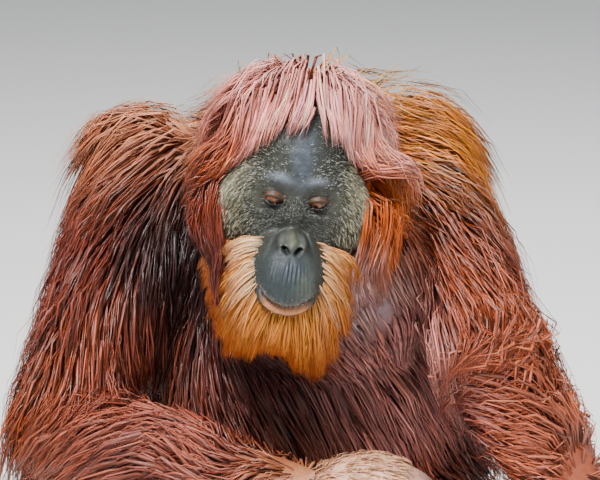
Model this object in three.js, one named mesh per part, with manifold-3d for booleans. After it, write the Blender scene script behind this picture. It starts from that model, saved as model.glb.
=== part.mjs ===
// A life-size model of a seated orangutan, in millimetres.
// +Z is up, the animal faces -Y, and left and right are the animal's own.
// The origin is the middle of the flat that it sits on.

import * as THREE from "three";
import { mergeVertices } from "three/addons/utils/BufferGeometryUtils.js";
import Module from "manifold-3d";

const wasm = await Module();
wasm.setup();

const v = (x, y, z) => new THREE.Vector3(x, y, z);
const DEGREE = Math.PI / 180;

// Driving sizes
const GAP = 0.35; // kept between nodes that touch
const SEED = 20417;
const CLEARANCE = GAP + 0.15; // how far a neighbour is grown before it is cut away
const FLOOR_ROOM = 12; // locks end at least this far above the floor
const CORE_SHARE = 0.5; // of the coat's depth, which the core under the locks carries
const ROOT_SINK = 6; // how deep a lock's root lies in the core
const STACK = 5; // how far every second lock of a row lies above the ones beside it

// Joint centres of the pose
const SHOULDER = { right: v(-184, 7, 636), left: v(138, 56, 630) };
const ELBOW = { right: v(-300, -200, 331), left: v(227, -238, 461) };
const WRIST = { right: v(24, -350, 300), left: v(423, -348, 152) };
const HIP = { right: v(-105, -30, 122), left: v(102, -30, 122) };
const KNEE = { right: v(-258, -262, 165), left: v(200, -318, 168) };
const ANKLE = { right: v(-92, -388, 62), left: v(98, -438, 62) };

// The head: the point between the eyes, and how far the head turns
const EYE_POINT = v(-4, -300, 655);
const HEAD_PITCH = 2 * DEGREE; // nose down
const HEAD_ROLL = 8 * DEGREE; // towards its left shoulder
const HEAD_YAW = 4 * DEGREE; // towards its left
const EYE_SPACING = 55;
const EYE_RADIUS = 11.5;
const FACING = v(0.208, -0.978, 0); // the chest, turned a little to the animal's left

// Small shared helpers

const random = randomFrom(SEED);

const clamp = (x, low, high) => Math.min(Math.max(x, low), high);
const smooth = (low, high, x) => {
  const t = clamp((x - low) / (high - low), 0, 1);
  return t * t * (3 - 2 * t);
};

/** A seeded source of numbers from -1 to 1. */
function randomFrom(seed) {
  let state = seed >>> 0;
  return () => {
    state = (Math.imul(state, 1664525) + 1013904223) >>> 0;
    return state / 2147483648 - 1;
  };
}

/** A smooth curve (Catmull-Rom) through evenly spaced values, read at s from 0 to 1. */
function along(values, s) {
  const last = values.length - 1;
  const x = clamp(s, 0, 1) * last;
  const i = Math.min(Math.floor(x), last - 1);
  const t = x - i;
  const at = (k) => values[clamp(k, 0, last)];
  const [p0, p1, p2, p3] = [at(i - 1), at(i), at(i + 1), at(i + 2)];
  const bend = 2 * p0 - 5 * p1 + 4 * p2 - p3 + t * (3 * (p1 - p2) + p3 - p0);
  return p1 + 0.5 * t * (p2 - p0 + t * bend);
}

/**
 * A closed geometry through rings of points, with a fan to a point at each end. A ring has
 * as many points as the one before it, or half as many.
 */
function closedSurface(rings, start, end) {
  const points = [...rings.flat(), start, end];
  const index = [];
  let first = 0;
  for (let r = 0; r + 1 < rings.length; r++) {
    const [size, next] = [rings[r].length, rings[r + 1].length];
    const here = (i) => first + (i % size);
    const there = (i) => first + size + (i % next);
    for (let i = 0; i < next; i++)
      if (size === next) index.push(here(i), here(i + 1), there(i + 1), here(i), there(i + 1), there(i));
      else {
        index.push(here(2 * i), here(2 * i + 1), there(i));
        index.push(here(2 * i + 1), there(i + 1), there(i));
        index.push(here(2 * i + 1), here(2 * i + 2), there(i + 1));
      }
    first += size;
  }
  const fan = (from, size, tip, turn) => {
    for (let i = 0; i < size; i++) {
      const [a, b] = [from + i, from + ((i + 1) % size)];
      index.push(tip, ...(turn ? [b, a] : [a, b]));
    }
  };
  fan(0, rings[0].length, points.length - 2, true);
  fan(first, rings.at(-1).length, points.length - 1, false);
  const geometry = new THREE.BufferGeometry().setFromPoints(points);
  return facingOut(geometry.setIndex(index));
}

/** Turns every face round when the geometry encloses a negative volume. */
function facingOut(geometry) {
  const { array } = geometry.getAttribute("position");
  const index = geometry.getIndex().array;
  const corner = (i) => v(array[3 * i], array[3 * i + 1], array[3 * i + 2]);
  let volume = 0;
  for (let i = 0; i < index.length; i += 3)
    volume += corner(index[i]).dot(corner(index[i + 1]).cross(corner(index[i + 2])));
  if (volume < 0)
    for (let i = 0; i < index.length; i += 3)
      [index[i + 1], index[i + 2]] = [index[i + 2], index[i + 1]];
  return geometry;
}

/** The middle of a ring of points. */
const middle = (ring) => ring.reduce((sum, p) => sum.add(p), v(0, 0, 0)).divideScalar(ring.length);

const MOST_TILT = 80 * DEGREE; // how far a lock follows the dome at the end of a limb

/** A closed geometry as a manifold-3d solid. */
function solidOf(geometry) {
  const bare = geometry.clone();
  bare.deleteAttribute("normal");
  bare.deleteAttribute("uv");
  const merged = mergeVertices(bare, 1e-4);
  return new wasm.Manifold(
    new wasm.Mesh({
      numProp: 3,
      vertProperties: new Float32Array(merged.getAttribute("position").array),
      triVerts: new Uint32Array(merged.getIndex().array),
    }),
  );
}

/** Many closed geometries joined into one solid. */
const joined = (geometries) => wasm.Manifold.union(geometries.map(solidOf));

/** An ellipsoid with half-sizes `size`, its own axes turned by a matrix. */
function ellipsoid(centre, size, turn = new THREE.Matrix4(), sides = 12, rows = 8) {
  const ball = new THREE.SphereGeometry(1, sides, rows).scale(size.x, size.y, size.z);
  return ball.applyMatrix4(turn).translate(centre.x, centre.y, centre.z);
}

/** The matrix whose columns are three directions. */
const turnedTo = (x, y, z) => new THREE.Matrix4().makeBasis(x, y, z);

/**
 * A limb or trunk: rings of half-widths `wide` (across) and `deep` (towards `front`)
 * along a smooth spine, with a domed end of `dome` times the end's radius, in `caps` rings.
 * The half-widths are the skin's, and `coat` is how deep the hair is on it.
 */
class Tube {
  constructor({ path, wide, deep = wide, coat = [0, 0], front, sides = 12, steps = 6, ...ends }) {
    const { dome = [0.7, 0.7], caps = 2 } = ends;
    Object.assign(this, { path, wide, deep, coat, front, sides, steps, dome, caps });
    this.length = path.slice(1).reduce((sum, p, i) => sum + p.distanceTo(path[i]), 0);
  }

  centre(s) {
    const axis = (name) => along(this.path.map((p) => p[name]), s);
    return v(axis("x"), axis("y"), axis("z"));
  }

  /** The spine's place, directions and half-widths at s. */
  at(s) {
    const inside = clamp(s, 0, 1);
    const step = 0.01;
    const tangent = this.centre(Math.min(inside + step, 1))
      .sub(this.centre(Math.max(inside - step, 0)))
      .normalize();
    const side = tangent.clone().cross(this.front).normalize();
    const face = side.clone().cross(tangent).normalize();
    const centre = this.centre(inside).addScaledVector(tangent, (s - inside) * this.length);
    const core = CORE_SHARE * along(this.coat, s);
    return { centre, tangent, side, face, a: along(this.wide, s) + core, b: along(this.deep, s) + core };
  }

  /** A point `height` above the surface, at s along the spine and `angle` round it. */
  point(s, angle, height = 0) {
    const inside = clamp(s, 0, 1);
    const { centre, tangent, side, face, a, b } = this.at(inside);
    // Past an end, the point goes on round the dome
    const rise = 0.5 * (a + b) * this.dome[Math.round(inside)] + height;
    const tilt = clamp(((s - inside) * this.length) / rise, -MOST_TILT, MOST_TILT);
    return centre
      .addScaledVector(side, (a + height) * Math.cos(angle) * Math.cos(tilt))
      .addScaledVector(face, (b + height) * Math.sin(angle) * Math.cos(tilt))
      .addScaledVector(tangent, rise * Math.sin(tilt));
  }

  /** A point of the free hair at `rise` of the way from the core to the tips of the coat. */
  hairPoint(s, angle, rise, lift = 0) {
    const free = (1 - CORE_SHARE) * along(this.coat, s);
    return this.point(s, angle, rise > 0 ? rise * free + lift : -ROOT_SINK);
  }

  /** Which way round leads down, and how level the limb lies there (0 upright, 1 level). */
  downhill(s) {
    const { side, face } = this.at(s);
    return { angle: Math.atan2(-face.z, -side.z), level: Math.hypot(side.z, face.z) };
  }

  /** Whether a point is inside the surface grown by `margin`. */
  holds(point, margin = 0) {
    const SAMPLES = 16;
    for (let i = 0; i <= SAMPLES; i++) {
      const { centre, side, face, tangent, a, b } = this.at(i / SAMPLES);
      const q = point.clone().sub(centre);
      const x = q.dot(side) / (a + margin);
      const y = q.dot(face) / (b + margin);
      const z = q.dot(tangent) / (0.5 * (a + b) + margin);
      if (x * x + y * y + z * z < 1) return true;
    }
    return false;
  }

  /** The closed surface, grown outwards by `grow`. */
  geometry(grow = 0) {
    const ring = (s, shrink, shift) => {
      const { centre, tangent, side, face, a, b } = this.at(s);
      centre.addScaledVector(tangent, shift);
      return Array.from({ length: this.sides }, (_, i) => {
        const angle = (2 * Math.PI * i) / this.sides;
        return centre
          .clone()
          .addScaledVector(side, (a + grow) * shrink * Math.cos(angle))
          .addScaledVector(face, (b + grow) * shrink * Math.sin(angle));
      });
    };
    const rings = [];
    const rise = (s, k) => {
      const { a, b } = this.at(s);
      return 0.5 * (a + b) * this.dome[k] + grow;
    };
    const domed = this.caps === 2 ? [62 * DEGREE, 32 * DEGREE] : [48 * DEGREE];
    for (const t of domed) rings.push(ring(0, Math.cos(t), -rise(0, 0) * Math.sin(t)));
    for (let i = 0; i <= this.steps; i++) rings.push(ring(i / this.steps, 1, 0));
    for (const t of [...domed].reverse())
      rings.push(ring(1, Math.cos(t), rise(1, 1) * Math.sin(t)));
    const [start, end] = [this.at(0), this.at(1)];
    return closedSurface(
      rings,
      start.centre.addScaledVector(start.tangent, -rise(0, 0)),
      end.centre.addScaledVector(end.tangent, rise(1, 1)),
    );
  }
}

const SEGMENTS = 3; // of a lock, from its sunk root to its tip
const LOCK_RISES = [0, 0.5, 0.95, 1]; // how far its points have risen through the free hair
const LOCK_WIDTHS = [0.8, 1, 0.8]; // shares of its width, before the point of the tip
const RIDGES = [0.9, 1, 0.75]; // and of its thickness, along the ridge of its back

/**
 * A flat, tapered lock, where `place(share, rise)` is the point `share` of the way along it
 * and `rise` of the way up through the free hair.
 */
function makeLock(place, width, thick) {
  const path = LOCK_RISES.map((rise, k) => place(k / SEGMENTS, rise));
  const up = LOCK_RISES.map((rise, k) =>
    place(k / SEGMENTS, rise + 0.5).sub(place(k / SEGMENTS, rise + 0.25)).normalize(),
  );
  return { path, up, width, thick };
}

/**
 * The closed surface of a lock: three-sided, with a ridge along its back, or grown outwards
 * by `grow`, where its sharp edges become narrow sides.
 */
function lockGeometry({ path, up, width, thick }, grow = 0) {
  const rings = LOCK_WIDTHS.map((share, k) => {
    const ahead = path[k + 1].clone().sub(path[Math.max(k - 1, 0)]).normalize();
    const across = ahead.clone().cross(up[k]).normalize();
    const out = across.clone().cross(ahead).normalize();
    const half = 0.5 * width * share + 2 * grow;
    const ridge = thick * RIDGES[k] + grow;
    const from = path[k].clone().addScaledVector(ahead, k ? 0 : -grow);
    const [edges, back] = [[v(half, -grow, 0)], [v(-half, -grow, 0)]];
    if (grow) edges.push(v(half, grow, 0));
    if (grow) back.unshift(v(-half, grow, 0));
    return [...edges, v(0, ridge, 0), ...back].map((p) =>
      from.clone().addScaledVector(across, p.x).addScaledVector(out, p.y),
    );
  });
  const tip = path[SEGMENTS];
  const past = tip.clone().sub(path[SEGMENTS - 1]).normalize();
  return closedSurface(rings, middle(rings[0]), tip.clone().addScaledVector(past, 4 * grow));
}

/** Whether a lock stays above the floor, and its middle and tip out of other shapes. */
function isFree({ path }, others) {
  const BURIED = 6;
  return path
    .slice(1)
    .every((p) => p.z > FLOOR_ROOM && !others.some((other) => other.holds(p, -BURIED)));
}

/**
 * Staggered rows of locks round a tube. `rows` are the roots' places along it, `reach` is the
 * share of its length that a lock covers (negative: back towards its start), and `droop`
 * is how far its tip swings round towards the underside.
 */
function coatOfTube(tube, coat, others = []) {
  const { rows, count, reach, droop = 0.5, arc = [0, 360], width, thick = 6 } = coat;
  const JITTER = 0.16;
  const locks = [];
  rows.forEach((row, k) => {
    const step = (arc[1] - arc[0]) / count;
    for (let i = 0; i < count; i++) {
      const angle = (arc[0] + step * (i + 0.5 * (k % 2) + JITTER * random())) * DEGREE;
      const start = row + 0.014 * random();
      const length = reach * (1 + 0.14 * random());
      const down = tube.downhill(clamp(start + length / 2, 0, 1));
      const swing = droop * down.level * Math.sin(down.angle - angle);
      const place = (share, rise) =>
        tube.hairPoint(start + length * share, angle + swing * share ** 1.3, rise, (i % 2) * STACK);
      const lock = makeLock(place, width * (1 + 0.1 * random()), thick);
      if (isFree(lock, others)) locks.push(lock);
    }
  });
  return locks;
}

// The trunk and the limbs

const trunk = new Tube({
  path: [
    v(0, 10, -20),
    v(0, 4, 70),
    v(2, -14, 180),
    v(6, -32, 300),
    v(8, -30, 410),
    v(0, -6, 510),
    v(-14, 26, 595),
    v(-18, 28, 646),
  ],
  wide: [148, 184, 206, 192, 160, 146, 126, 84],
  deep: [118, 152, 172, 172, 154, 136, 110, 72],
  coat: [10, 18, 24, 26, 26, 28, 30, 30],
  front: FACING,
  sides: 16,
  steps: 8,
  dome: [0.2, 0.5],
});

const neck = new Tube({
  path: [v(-12, -20, 612), v(-8, -95, 632), v(-4, -160, 652)],
  wide: [100, 88, 76],
  coat: [30, 30, 30],
  front: v(0, 0, 1),
  steps: 3,
  dome: [0.3, 0.3],
});

const pouch = new Tube({
  path: [v(46, -150, 450), v(42, -180, 508), v(26, -176, 572)],
  wide: [92, 122, 92],
  deep: [60, 84, 66],
  coat: [14, 12, 10],
  front: FACING,
  steps: 5,
});

const SIDES = ["right", "left"];
const bySide = (make) => Object.fromEntries(SIDES.map((side) => [side, make(side)]));

const upperArm = bySide((side) => {
  const mid = SHOULDER[side].clone().lerp(ELBOW[side], 0.5).add(v(0, -4, 4));
  return new Tube({
    path: [SHOULDER[side], mid, ELBOW[side]],
    wide: [58, 54, 48],
    deep: [62, 56, 48],
    coat: [30, 32, 28],
    front: v(0, -1, 0.3),
    sides: 9,
    steps: 3,
    dome: [0.85, 0.8],
  });
});

const forearm = bySide((side) => {
  const span = WRIST[side].clone().sub(ELBOW[side]);
  const inner = (share, lift) => ELBOW[side].clone().addScaledVector(span, share).add(v(0, 0, lift));
  return new Tube({
    path: [inner(0.02, 0), inner(0.34, 4), inner(0.7, 2), inner(0.98, 0)],
    wide: [47, 45, 36, 30],
    deep: [46, 43, 33, 24],
    coat: [26, 26, 22, 8],
    front: side === "right" ? v(0, -0.3, 1) : v(0.3, -1, 0.3),
    sides: 9,
    steps: 3,
    dome: [0.7, 0.5],
  });
});

const thigh = bySide((side) => {
  const mid = HIP[side].clone().lerp(KNEE[side], 0.5);
  return new Tube({
    path: [HIP[side], mid, KNEE[side]],
    wide: [90, 80, 62],
    deep: [92, 80, 60],
    coat: [18, 22, 20],
    front: v(0, 0, 1),
    sides: 9,
    steps: 2,
    dome: [0.6, 0.8],
  });
});

const shin = bySide((side) => {
  const mid = KNEE[side].clone().lerp(ANKLE[side], 0.5).add(v(0, 0, -4));
  return new Tube({
    path: [KNEE[side].clone().lerp(ANKLE[side], 0.1), mid, ANKLE[side]],
    wide: [52, 46, 34],
    deep: [52, 46, 34],
    coat: [18, 18, 10],
    front: v(0, 0, 1),
    sides: 8,
    steps: 2,
    dome: [0.6, 0.5],
  });
});

// Hands and feet

/**
 * A hand or foot: a flat palm or sole from `root` along `aim`, with digits that bend away
 * from `back`. Returns the shapes of the flesh, and of the nail on each digit.
 */
function extremity({ root, aim, back, palm, digits, thumb }) {
  const side = aim.clone().cross(back).normalize();
  const dorsal = side.clone().cross(aim).normalize();
  const arch = (share) => (palm.arch ?? 0) * Math.sin(Math.PI * share);
  const reach = (share) =>
    root.clone().addScaledVector(aim, palm.length * share).addScaledVector(dorsal, arch(share));
  const shapes = [
    new Tube({
      path: [reach(0), reach(0.35), reach(0.7), reach(1)],
      wide: palm.wide,
      deep: palm.deep,
      front: dorsal,
      sides: 8,
      steps: 3,
      dome: [0.8, 0.35],
      caps: 1,
    }),
  ];
  const nails = [];
  const NAIL = v(6.4, 8.4, 1.7);
  const addDigit = ({ from, lengths, bends, splay, radius, spin = 0 }) => {
    const ahead = aim
      .clone()
      .multiplyScalar(Math.cos(splay * DEGREE))
      .addScaledVector(side, Math.sin(splay * DEGREE));
    const up = dorsal.clone().applyAxisAngle(ahead, spin * DEGREE);
    const place = from.clone();
    const path = [place.clone()];
    let way = ahead;
    let out = up;
    lengths.forEach((length, i) => {
      const bend = bends[i] * DEGREE;
      way = ahead.clone().multiplyScalar(Math.cos(bend)).addScaledVector(up, -Math.sin(bend));
      out = up.clone().multiplyScalar(Math.cos(bend)).addScaledVector(ahead, Math.sin(bend));
      place.addScaledVector(way, length);
      path.push(place.clone());
    });
    shapes.push(
      new Tube({
        path,
        wide: [radius * 1.1, radius, radius * 0.92, radius * 0.72],
        front: out,
        sides: 5,
        steps: 3,
        dome: [0.5, 0.8],
        caps: 1,
      }),
    );
    const nailPlace = place.clone().addScaledVector(out, radius * 0.74).addScaledVector(way, -1);
    const across = way.clone().cross(out).normalize();
    nails.push({ centre: nailPlace, size: NAIL, turn: turnedTo(across, way, out) });
  };
  for (const digit of digits)
    addDigit({
      ...digit,
      from: reach(0.9).addScaledVector(side, digit.across),
    });
  addDigit({
    ...thumb,
    from: reach(thumb.along).addScaledVector(side, thumb.across),
  });
  return { shapes, nails };
}

const FINGER_SPREAD = [27, 9.5, -9, -27];
const FINGER_LENGTHS = [
  [44, 30, 23],
  [50, 34, 24],
  [48, 33, 24],
  [40, 27, 22],
];
const TOE_LENGTHS = [
  [44, 30, 21],
  [48, 32, 22],
  [46, 31, 22],
  [40, 27, 20],
];

/** Four digits side by side, each bent a little differently. */
const fourDigits = (lengths, bends, radius, mirror, splay) =>
  lengths.map((each, i) => ({
    across: FINGER_SPREAD[i] * mirror,
    lengths: each,
    bends: bends.map((bend) => bend + 4 * (i % 2) - 2 * i),
    splay: splay * mirror * (1.5 - i),
    radius,
  }));

const PALM = { wide: [28, 37, 42, 41], deep: [22, 26, 24, 17] };
const SOLE = { length: 140, wide: [34, 37, 43, 44], deep: [32, 31, 27, 19] };
const THUMB = { along: 0.3, across: 34, lengths: [24, 21, 17], splay: 32, radius: 10 };
const GREAT_TOE = {
  along: 0.34,
  across: 34,
  lengths: [22, 18, 15],
  bends: [8, 14, 18],
  splay: 48,
  radius: 11,
};
/** A thumb or great toe on the other side of its palm. */
const mirrored = (digit) => ({ ...digit, across: -digit.across, splay: -digit.splay });

const extremities = {
  hand_right: extremity({
    root: WRIST.right.clone(),
    aim: v(0.97, -0.08, 0.2).normalize(),
    back: v(-0.2, -0.2, 0.96),
    palm: { ...PALM, length: 100, arch: 11 },
    digits: fourDigits(FINGER_LENGTHS, [42, 70, 88], 10.5, 1, 1.5),
    thumb: { ...THUMB, bends: [24, 38, 46], spin: 35 },
  }),
  hand_left: extremity({
    root: WRIST.left.clone().add(v(0, 0, -3)),
    aim: v(0.14, -0.05, -0.985).normalize(),
    back: v(0.35, -0.93, 0),
    palm: { ...PALM, length: 106 },
    digits: fourDigits(FINGER_LENGTHS, [12, 94, 146], 11, -1, 1),
    thumb: { ...mirrored(THUMB), bends: [14, 30, 42], spin: -30 },
  }),
  foot_right: extremity({
    root: v(-88, -376, 25),
    aim: v(-0.24, -0.97, -0.08).normalize(),
    back: v(0, 0, 1),
    palm: SOLE,
    digits: fourDigits(TOE_LENGTHS, [3, 7, 9], 10.5, 1, 2),
    thumb: mirrored(GREAT_TOE),
  }),
  foot_left: extremity({
    root: v(96, -426, 25),
    aim: v(0.3, -0.954, -0.08).normalize(),
    back: v(0, 0, 1),
    palm: SOLE,
    digits: fourDigits(TOE_LENGTHS, [3, 7, 9], 10.5, -1, 2),
    thumb: GREAT_TOE,
  }),
};

// The head, in its own frame: x to its left, y to the back, z up, origin between the eyes

const headTurn = new THREE.Matrix4()
  .makeRotationAxis(v(0, Math.cos(15 * DEGREE), -Math.sin(15 * DEGREE)), HEAD_ROLL)
  .multiply(new THREE.Matrix4().makeRotationX(HEAD_PITCH))
  .multiply(new THREE.Matrix4().makeRotationZ(HEAD_YAW));
const headFrame = new THREE.Matrix4().makeTranslation(EYE_POINT).multiply(headTurn);

const HEAD_CENTRE = v(0, 60, -45);
const HEAD_BLEND = 6;
// Each mass holds the head's centre. The head's surface is the farthest of them, blended.
const HEAD_MASSES = [
  { centre: v(0, 88, 34), size: v(70, 90, 86) }, // skull
  { centre: v(0, 44, -26), size: v(92, 50, 84) }, // broad disc of the face and its cheek pads
  { centre: v(0, 54, -74), size: v(70, 62, 76) }, // angle of the jaws
  { centre: v(0, 16, -92), size: v(55, 88, 58) }, // muzzle
];
// Swellings (up) and hollows (down), each a bell shape round a point of the face
const HEAD_FORMS = [
  { at: v(-24, -4, 25), size: v(20, 9), up: 6 }, // brow
  { at: v(24, -4, 25), size: v(20, 9), up: 6 },
  { at: v(-EYE_SPACING / 2, 0, -2), size: v(15, 12), up: -11 }, // eye sockets
  { at: v(EYE_SPACING / 2, 0, -2), size: v(15, 12), up: -11 },
  { at: v(0, -8, -12), size: v(9, 20), up: 4 }, // bridge of the nose
  { at: v(0, -47, -40), size: v(10, 9), up: 13 }, // tip of the nose
  { at: v(-13, -45, -44), size: v(7, 7), up: 8 }, // wings of the nose
  { at: v(13, -45, -44), size: v(7, 7), up: 8 },
  { at: v(0, -74, -92), size: v(36, 18), up: 3 }, // upper lip
];
const MOUTH_POINT = v(0, -70, -117);
const MOUTH_HALF = 42;
const MOUTH_RISE = 0.0065; // how fast its line climbs towards the corners

/** How far across and above a point of the face a direction from the head's centre passes. */
function passing(direction, at) {
  const ahead = at.clone().sub(HEAD_CENTRE);
  const distance = ahead.length();
  ahead.divideScalar(distance);
  const cosine = direction.dot(ahead);
  if (cosine <= 0.2) return null;
  const across = v(0, 0, 1).cross(ahead).normalize();
  const above = ahead.clone().cross(across);
  const offset = direction.clone().divideScalar(cosine).sub(ahead).multiplyScalar(distance);
  return { x: offset.dot(across), z: offset.dot(above) };
}

/** How hairy the head is in a direction: 0 on the bare face, 1 on the scalp. */
function hairiness(direction) {
  const face = v(0, -0.916, 0.401);
  const angle = Math.acos(clamp(direction.dot(face), -1, 1));
  const rest = direction.clone().addScaledVector(face, -direction.dot(face));
  const upness = rest.lengthSq() > 1e-6 ? rest.normalize().z : 0;
  const line = (66 - 12 * upness) * DEGREE;
  return smooth(line, line + 14 * DEGREE, angle);
}

/** The distance from the head's centre to its surface in a direction. */
function headRadius(direction) {
  let sum = 0;
  for (const { centre, size } of HEAD_MASSES) {
    const q = HEAD_CENTRE.clone().sub(centre).divide(size);
    const e = direction.clone().divide(size);
    const [ee, qe, qq] = [e.dot(e), q.dot(e), q.dot(q)];
    sum += Math.exp((-qe + Math.sqrt(Math.max(qe * qe - ee * (qq - 1), 0))) / ee / HEAD_BLEND);
  }
  let radius = HEAD_BLEND * Math.log(sum);
  for (const { at, size, up } of HEAD_FORMS) {
    const p = passing(direction, at);
    if (p) radius += up * Math.exp(-((p.x / size.x) ** 2) - (p.z / size.y) ** 2);
  }
  const mouth = passing(direction, MOUTH_POINT);
  if (mouth) {
    const off = mouth.z - MOUTH_RISE * mouth.x ** 2;
    const within = 1 - smooth(MOUTH_HALF - 8, MOUTH_HALF + 4, Math.abs(mouth.x));
    radius += within * (6 * Math.exp(-(((off + 9) / 6) ** 2)) - 5 * Math.exp(-((off / 3.2) ** 2)));
    radius += within * 2.5 * Math.exp(-(((off - 7) / 6) ** 2));
  }
  return radius;
}

const UPPER_MUZZLE = v(0, -0.956, -0.294);
const BEARD_EDGE = [16 * DEGREE, 30 * DEGREE]; // from the upper muzzle, where it is bare and full

/** How bearded the head is in a direction: 0 on the lips, 1 on the chin and the cheeks. */
function beardness(direction) {
  const angle = Math.acos(clamp(direction.dot(UPPER_MUZZLE), -1, 1));
  const below = smooth(0.02, 0.2, -direction.z);
  const ahead = smooth(0.05, 0.4, -direction.y);
  return smooth(...BEARD_EDGE, angle) * below * ahead;
}

const HAIR_DEPTH = 36;
const LEFT_WING = 34; // more on the side hair that falls over its left shoulder
const RIGHT_WING = 10;
const BEARD_DEPTH = 18;
const CHIN_BEARD = 38; // more under the chin

const EAR = v(84, 66, -2); // the left ear's middle; the right one mirrors it
const EAR_PARTING = 17 * DEGREE; // how far round an ear the hair lies open

/** How far the hair lies open in a direction, round an ear: 1 at the ear. */
function parting(direction) {
  const ear = EAR.clone().sub(HEAD_CENTRE).normalize();
  ear.x *= Math.sign(direction.x || 1);
  const angle = Math.acos(clamp(direction.dot(ear), -1, 1));
  return Math.exp(-((angle / EAR_PARTING) ** 4));
}

/** How deep the hair or the beard is in a direction. */
function headCoat(direction) {
  const beard = BEARD_DEPTH + CHIN_BEARD * smooth(0.3, 0.75, -direction.z);
  const level = smooth(-0.45, 0, direction.z) * (1 - smooth(0.5, 0.85, direction.z));
  const aside = smooth(0.45, 0.85, Math.abs(direction.x)) * level;
  const wing = aside * (direction.x > 0 ? LEFT_WING : RIGHT_WING);
  const thinned = (1 - 0.7 * smooth(0.2, 0.7, -direction.z)) * (1 - parting(direction));
  const hair = (HAIR_DEPTH + wing) * hairiness(direction) * thinned;
  return Math.max(hair, beard * beardness(direction));
}

/** A point of the head's core, `height` above it, in the world. */
function headPoint(direction, height = 0) {
  const reach = headRadius(direction) + CORE_SHARE * headCoat(direction) + height;
  return HEAD_CENTRE.clone().addScaledVector(direction, reach).applyMatrix4(headFrame);
}

/** A direction from the head's centre: `off` degrees from straight ahead, `round` from up. */
function headDirection(off, round) {
  const [o, r] = [off * DEGREE, round * DEGREE];
  return v(Math.sin(o) * Math.sin(r), -Math.cos(o), Math.sin(o) * Math.cos(r));
}

// Rings of the head round its nose, in degrees from straight ahead
const FACE_RINGS = [3, 7, 11, 15.5, 20, 25, 30, 35, 40, 45, 50, 56, 63, 71];
const REAR_RINGS = [81, 94, 109, 126, 144, 162];
const HEAD_SIDES = 48;

/** The whole head as one closed surface of rings round the nose, finer on the face. */
function headGeometry(grow = 0) {
  const ring = (off, sides) =>
    Array.from({ length: sides }, (_, i) => headPoint(headDirection(off, (360 * i) / sides), grow));
  const rings = [
    ...FACE_RINGS.map((off) => ring(off, HEAD_SIDES)),
    ...REAR_RINGS.map((off) => ring(off, HEAD_SIDES / 2)),
  ];
  return closedSurface(rings, headPoint(v(0, -1, 0), grow), headPoint(v(0, 1, 0), grow));
}

/** The space below the line of the mouth, back to the hinge of the jaw. */
function jawSpace(shift) {
  const HALF = 96;
  const COLUMNS = 17;
  const BACK = 18;
  const rings = [];
  for (let i = 0; i < COLUMNS; i++) {
    const x = HALF * ((2 * i) / (COLUMNS - 1) - 1);
    const near = Math.min(Math.abs(x), MOUTH_HALF + 2);
    const top = MOUTH_POINT.z + MOUTH_RISE * near ** 2 + shift;
    rings.push([
      v(x, -140, top),
      v(x, BACK - 26, top),
      v(x, BACK + shift, top - 14),
      v(x, BACK + 10 + shift, -230),
      v(x, -140, -230),
    ]);
  }
  const shape = closedSurface(rings, middle(rings[0]), middle(rings[COLUMNS - 1]));
  return solidOf(shape.applyMatrix4(headFrame));
}

const inHead = (x, y, z) => v(x, y, z).applyMatrix4(headFrame);

const EYE_DEPTH = 9.5; // of the eyeball's centre, behind the point between the eyes
const eyePlace = (mirror, forward = 0) =>
  inHead((mirror * EYE_SPACING) / 2, EYE_DEPTH - forward, -1);

const LID_THICKNESS = 2.8;
const LID_OPENING = v(11.5, 12, 4.8); // half-sizes of the gap between the lids

/** The ball that both lids are part of, and the opening between them. */
function lidGeometries(mirror) {
  const radius = EYE_RADIUS + LID_THICKNESS;
  const slant = headTurn.clone().multiply(new THREE.Matrix4().makeRotationY(mirror * 6 * DEGREE));
  return {
    ball: ellipsoid(eyePlace(mirror), v(radius, radius, radius), headTurn, 10, 8),
    opening: ellipsoid(eyePlace(mirror, 11), LID_OPENING, slant, 8, 5),
  };
}

const NOSTRILS = [-1, 1];
const nostrilGeometry = (mirror) =>
  ellipsoid(inHead(mirror * 7.2, -56, -52), v(4.6, 8, 3.4), headTurn, 6, 4);

const AHEAD = v(0, -1, 0);
const UPWARD = v(0, 0, 1);
const WHORL = v(0, 0.342, 0.94); // of the hair, behind the top of the head
const PARTING = 6; // of the fringe, in degrees to its left of the middle of the face

/** A direction `angle` degrees from an axis, at `round` degrees from `towards` to its left. */
function polar(axis, towards, angle, round) {
  const rest = towards.clone().addScaledVector(axis, -axis.dot(towards)).normalize();
  const [a, r] = [angle * DEGREE, round * DEGREE];
  return axis
    .clone()
    .multiplyScalar(Math.cos(a))
    .addScaledVector(rest, Math.sin(a) * Math.cos(r))
    .addScaledVector(v(1, 0, 0), Math.sin(a) * Math.sin(r));
}

/** A lock of the head between two directions, its tip at least `lift` above the core. */
function headLock(start, end, { lift, width, thick = 6 }) {
  const place = (share, rise) => {
    const direction = start.clone().lerp(end, share).normalize();
    const free = (1 - CORE_SHARE) * headCoat(direction);
    return headPoint(direction, rise > 0 ? rise * Math.max(free, lift) : -ROOT_SINK);
  };
  return makeLock(place, width, thick);
}

/** How far from the whorl the hair ends, `off` degrees round from the parting. */
const fringeEdge = (off) => 44 + 49 * (off / 88) ** 2.2;

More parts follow.
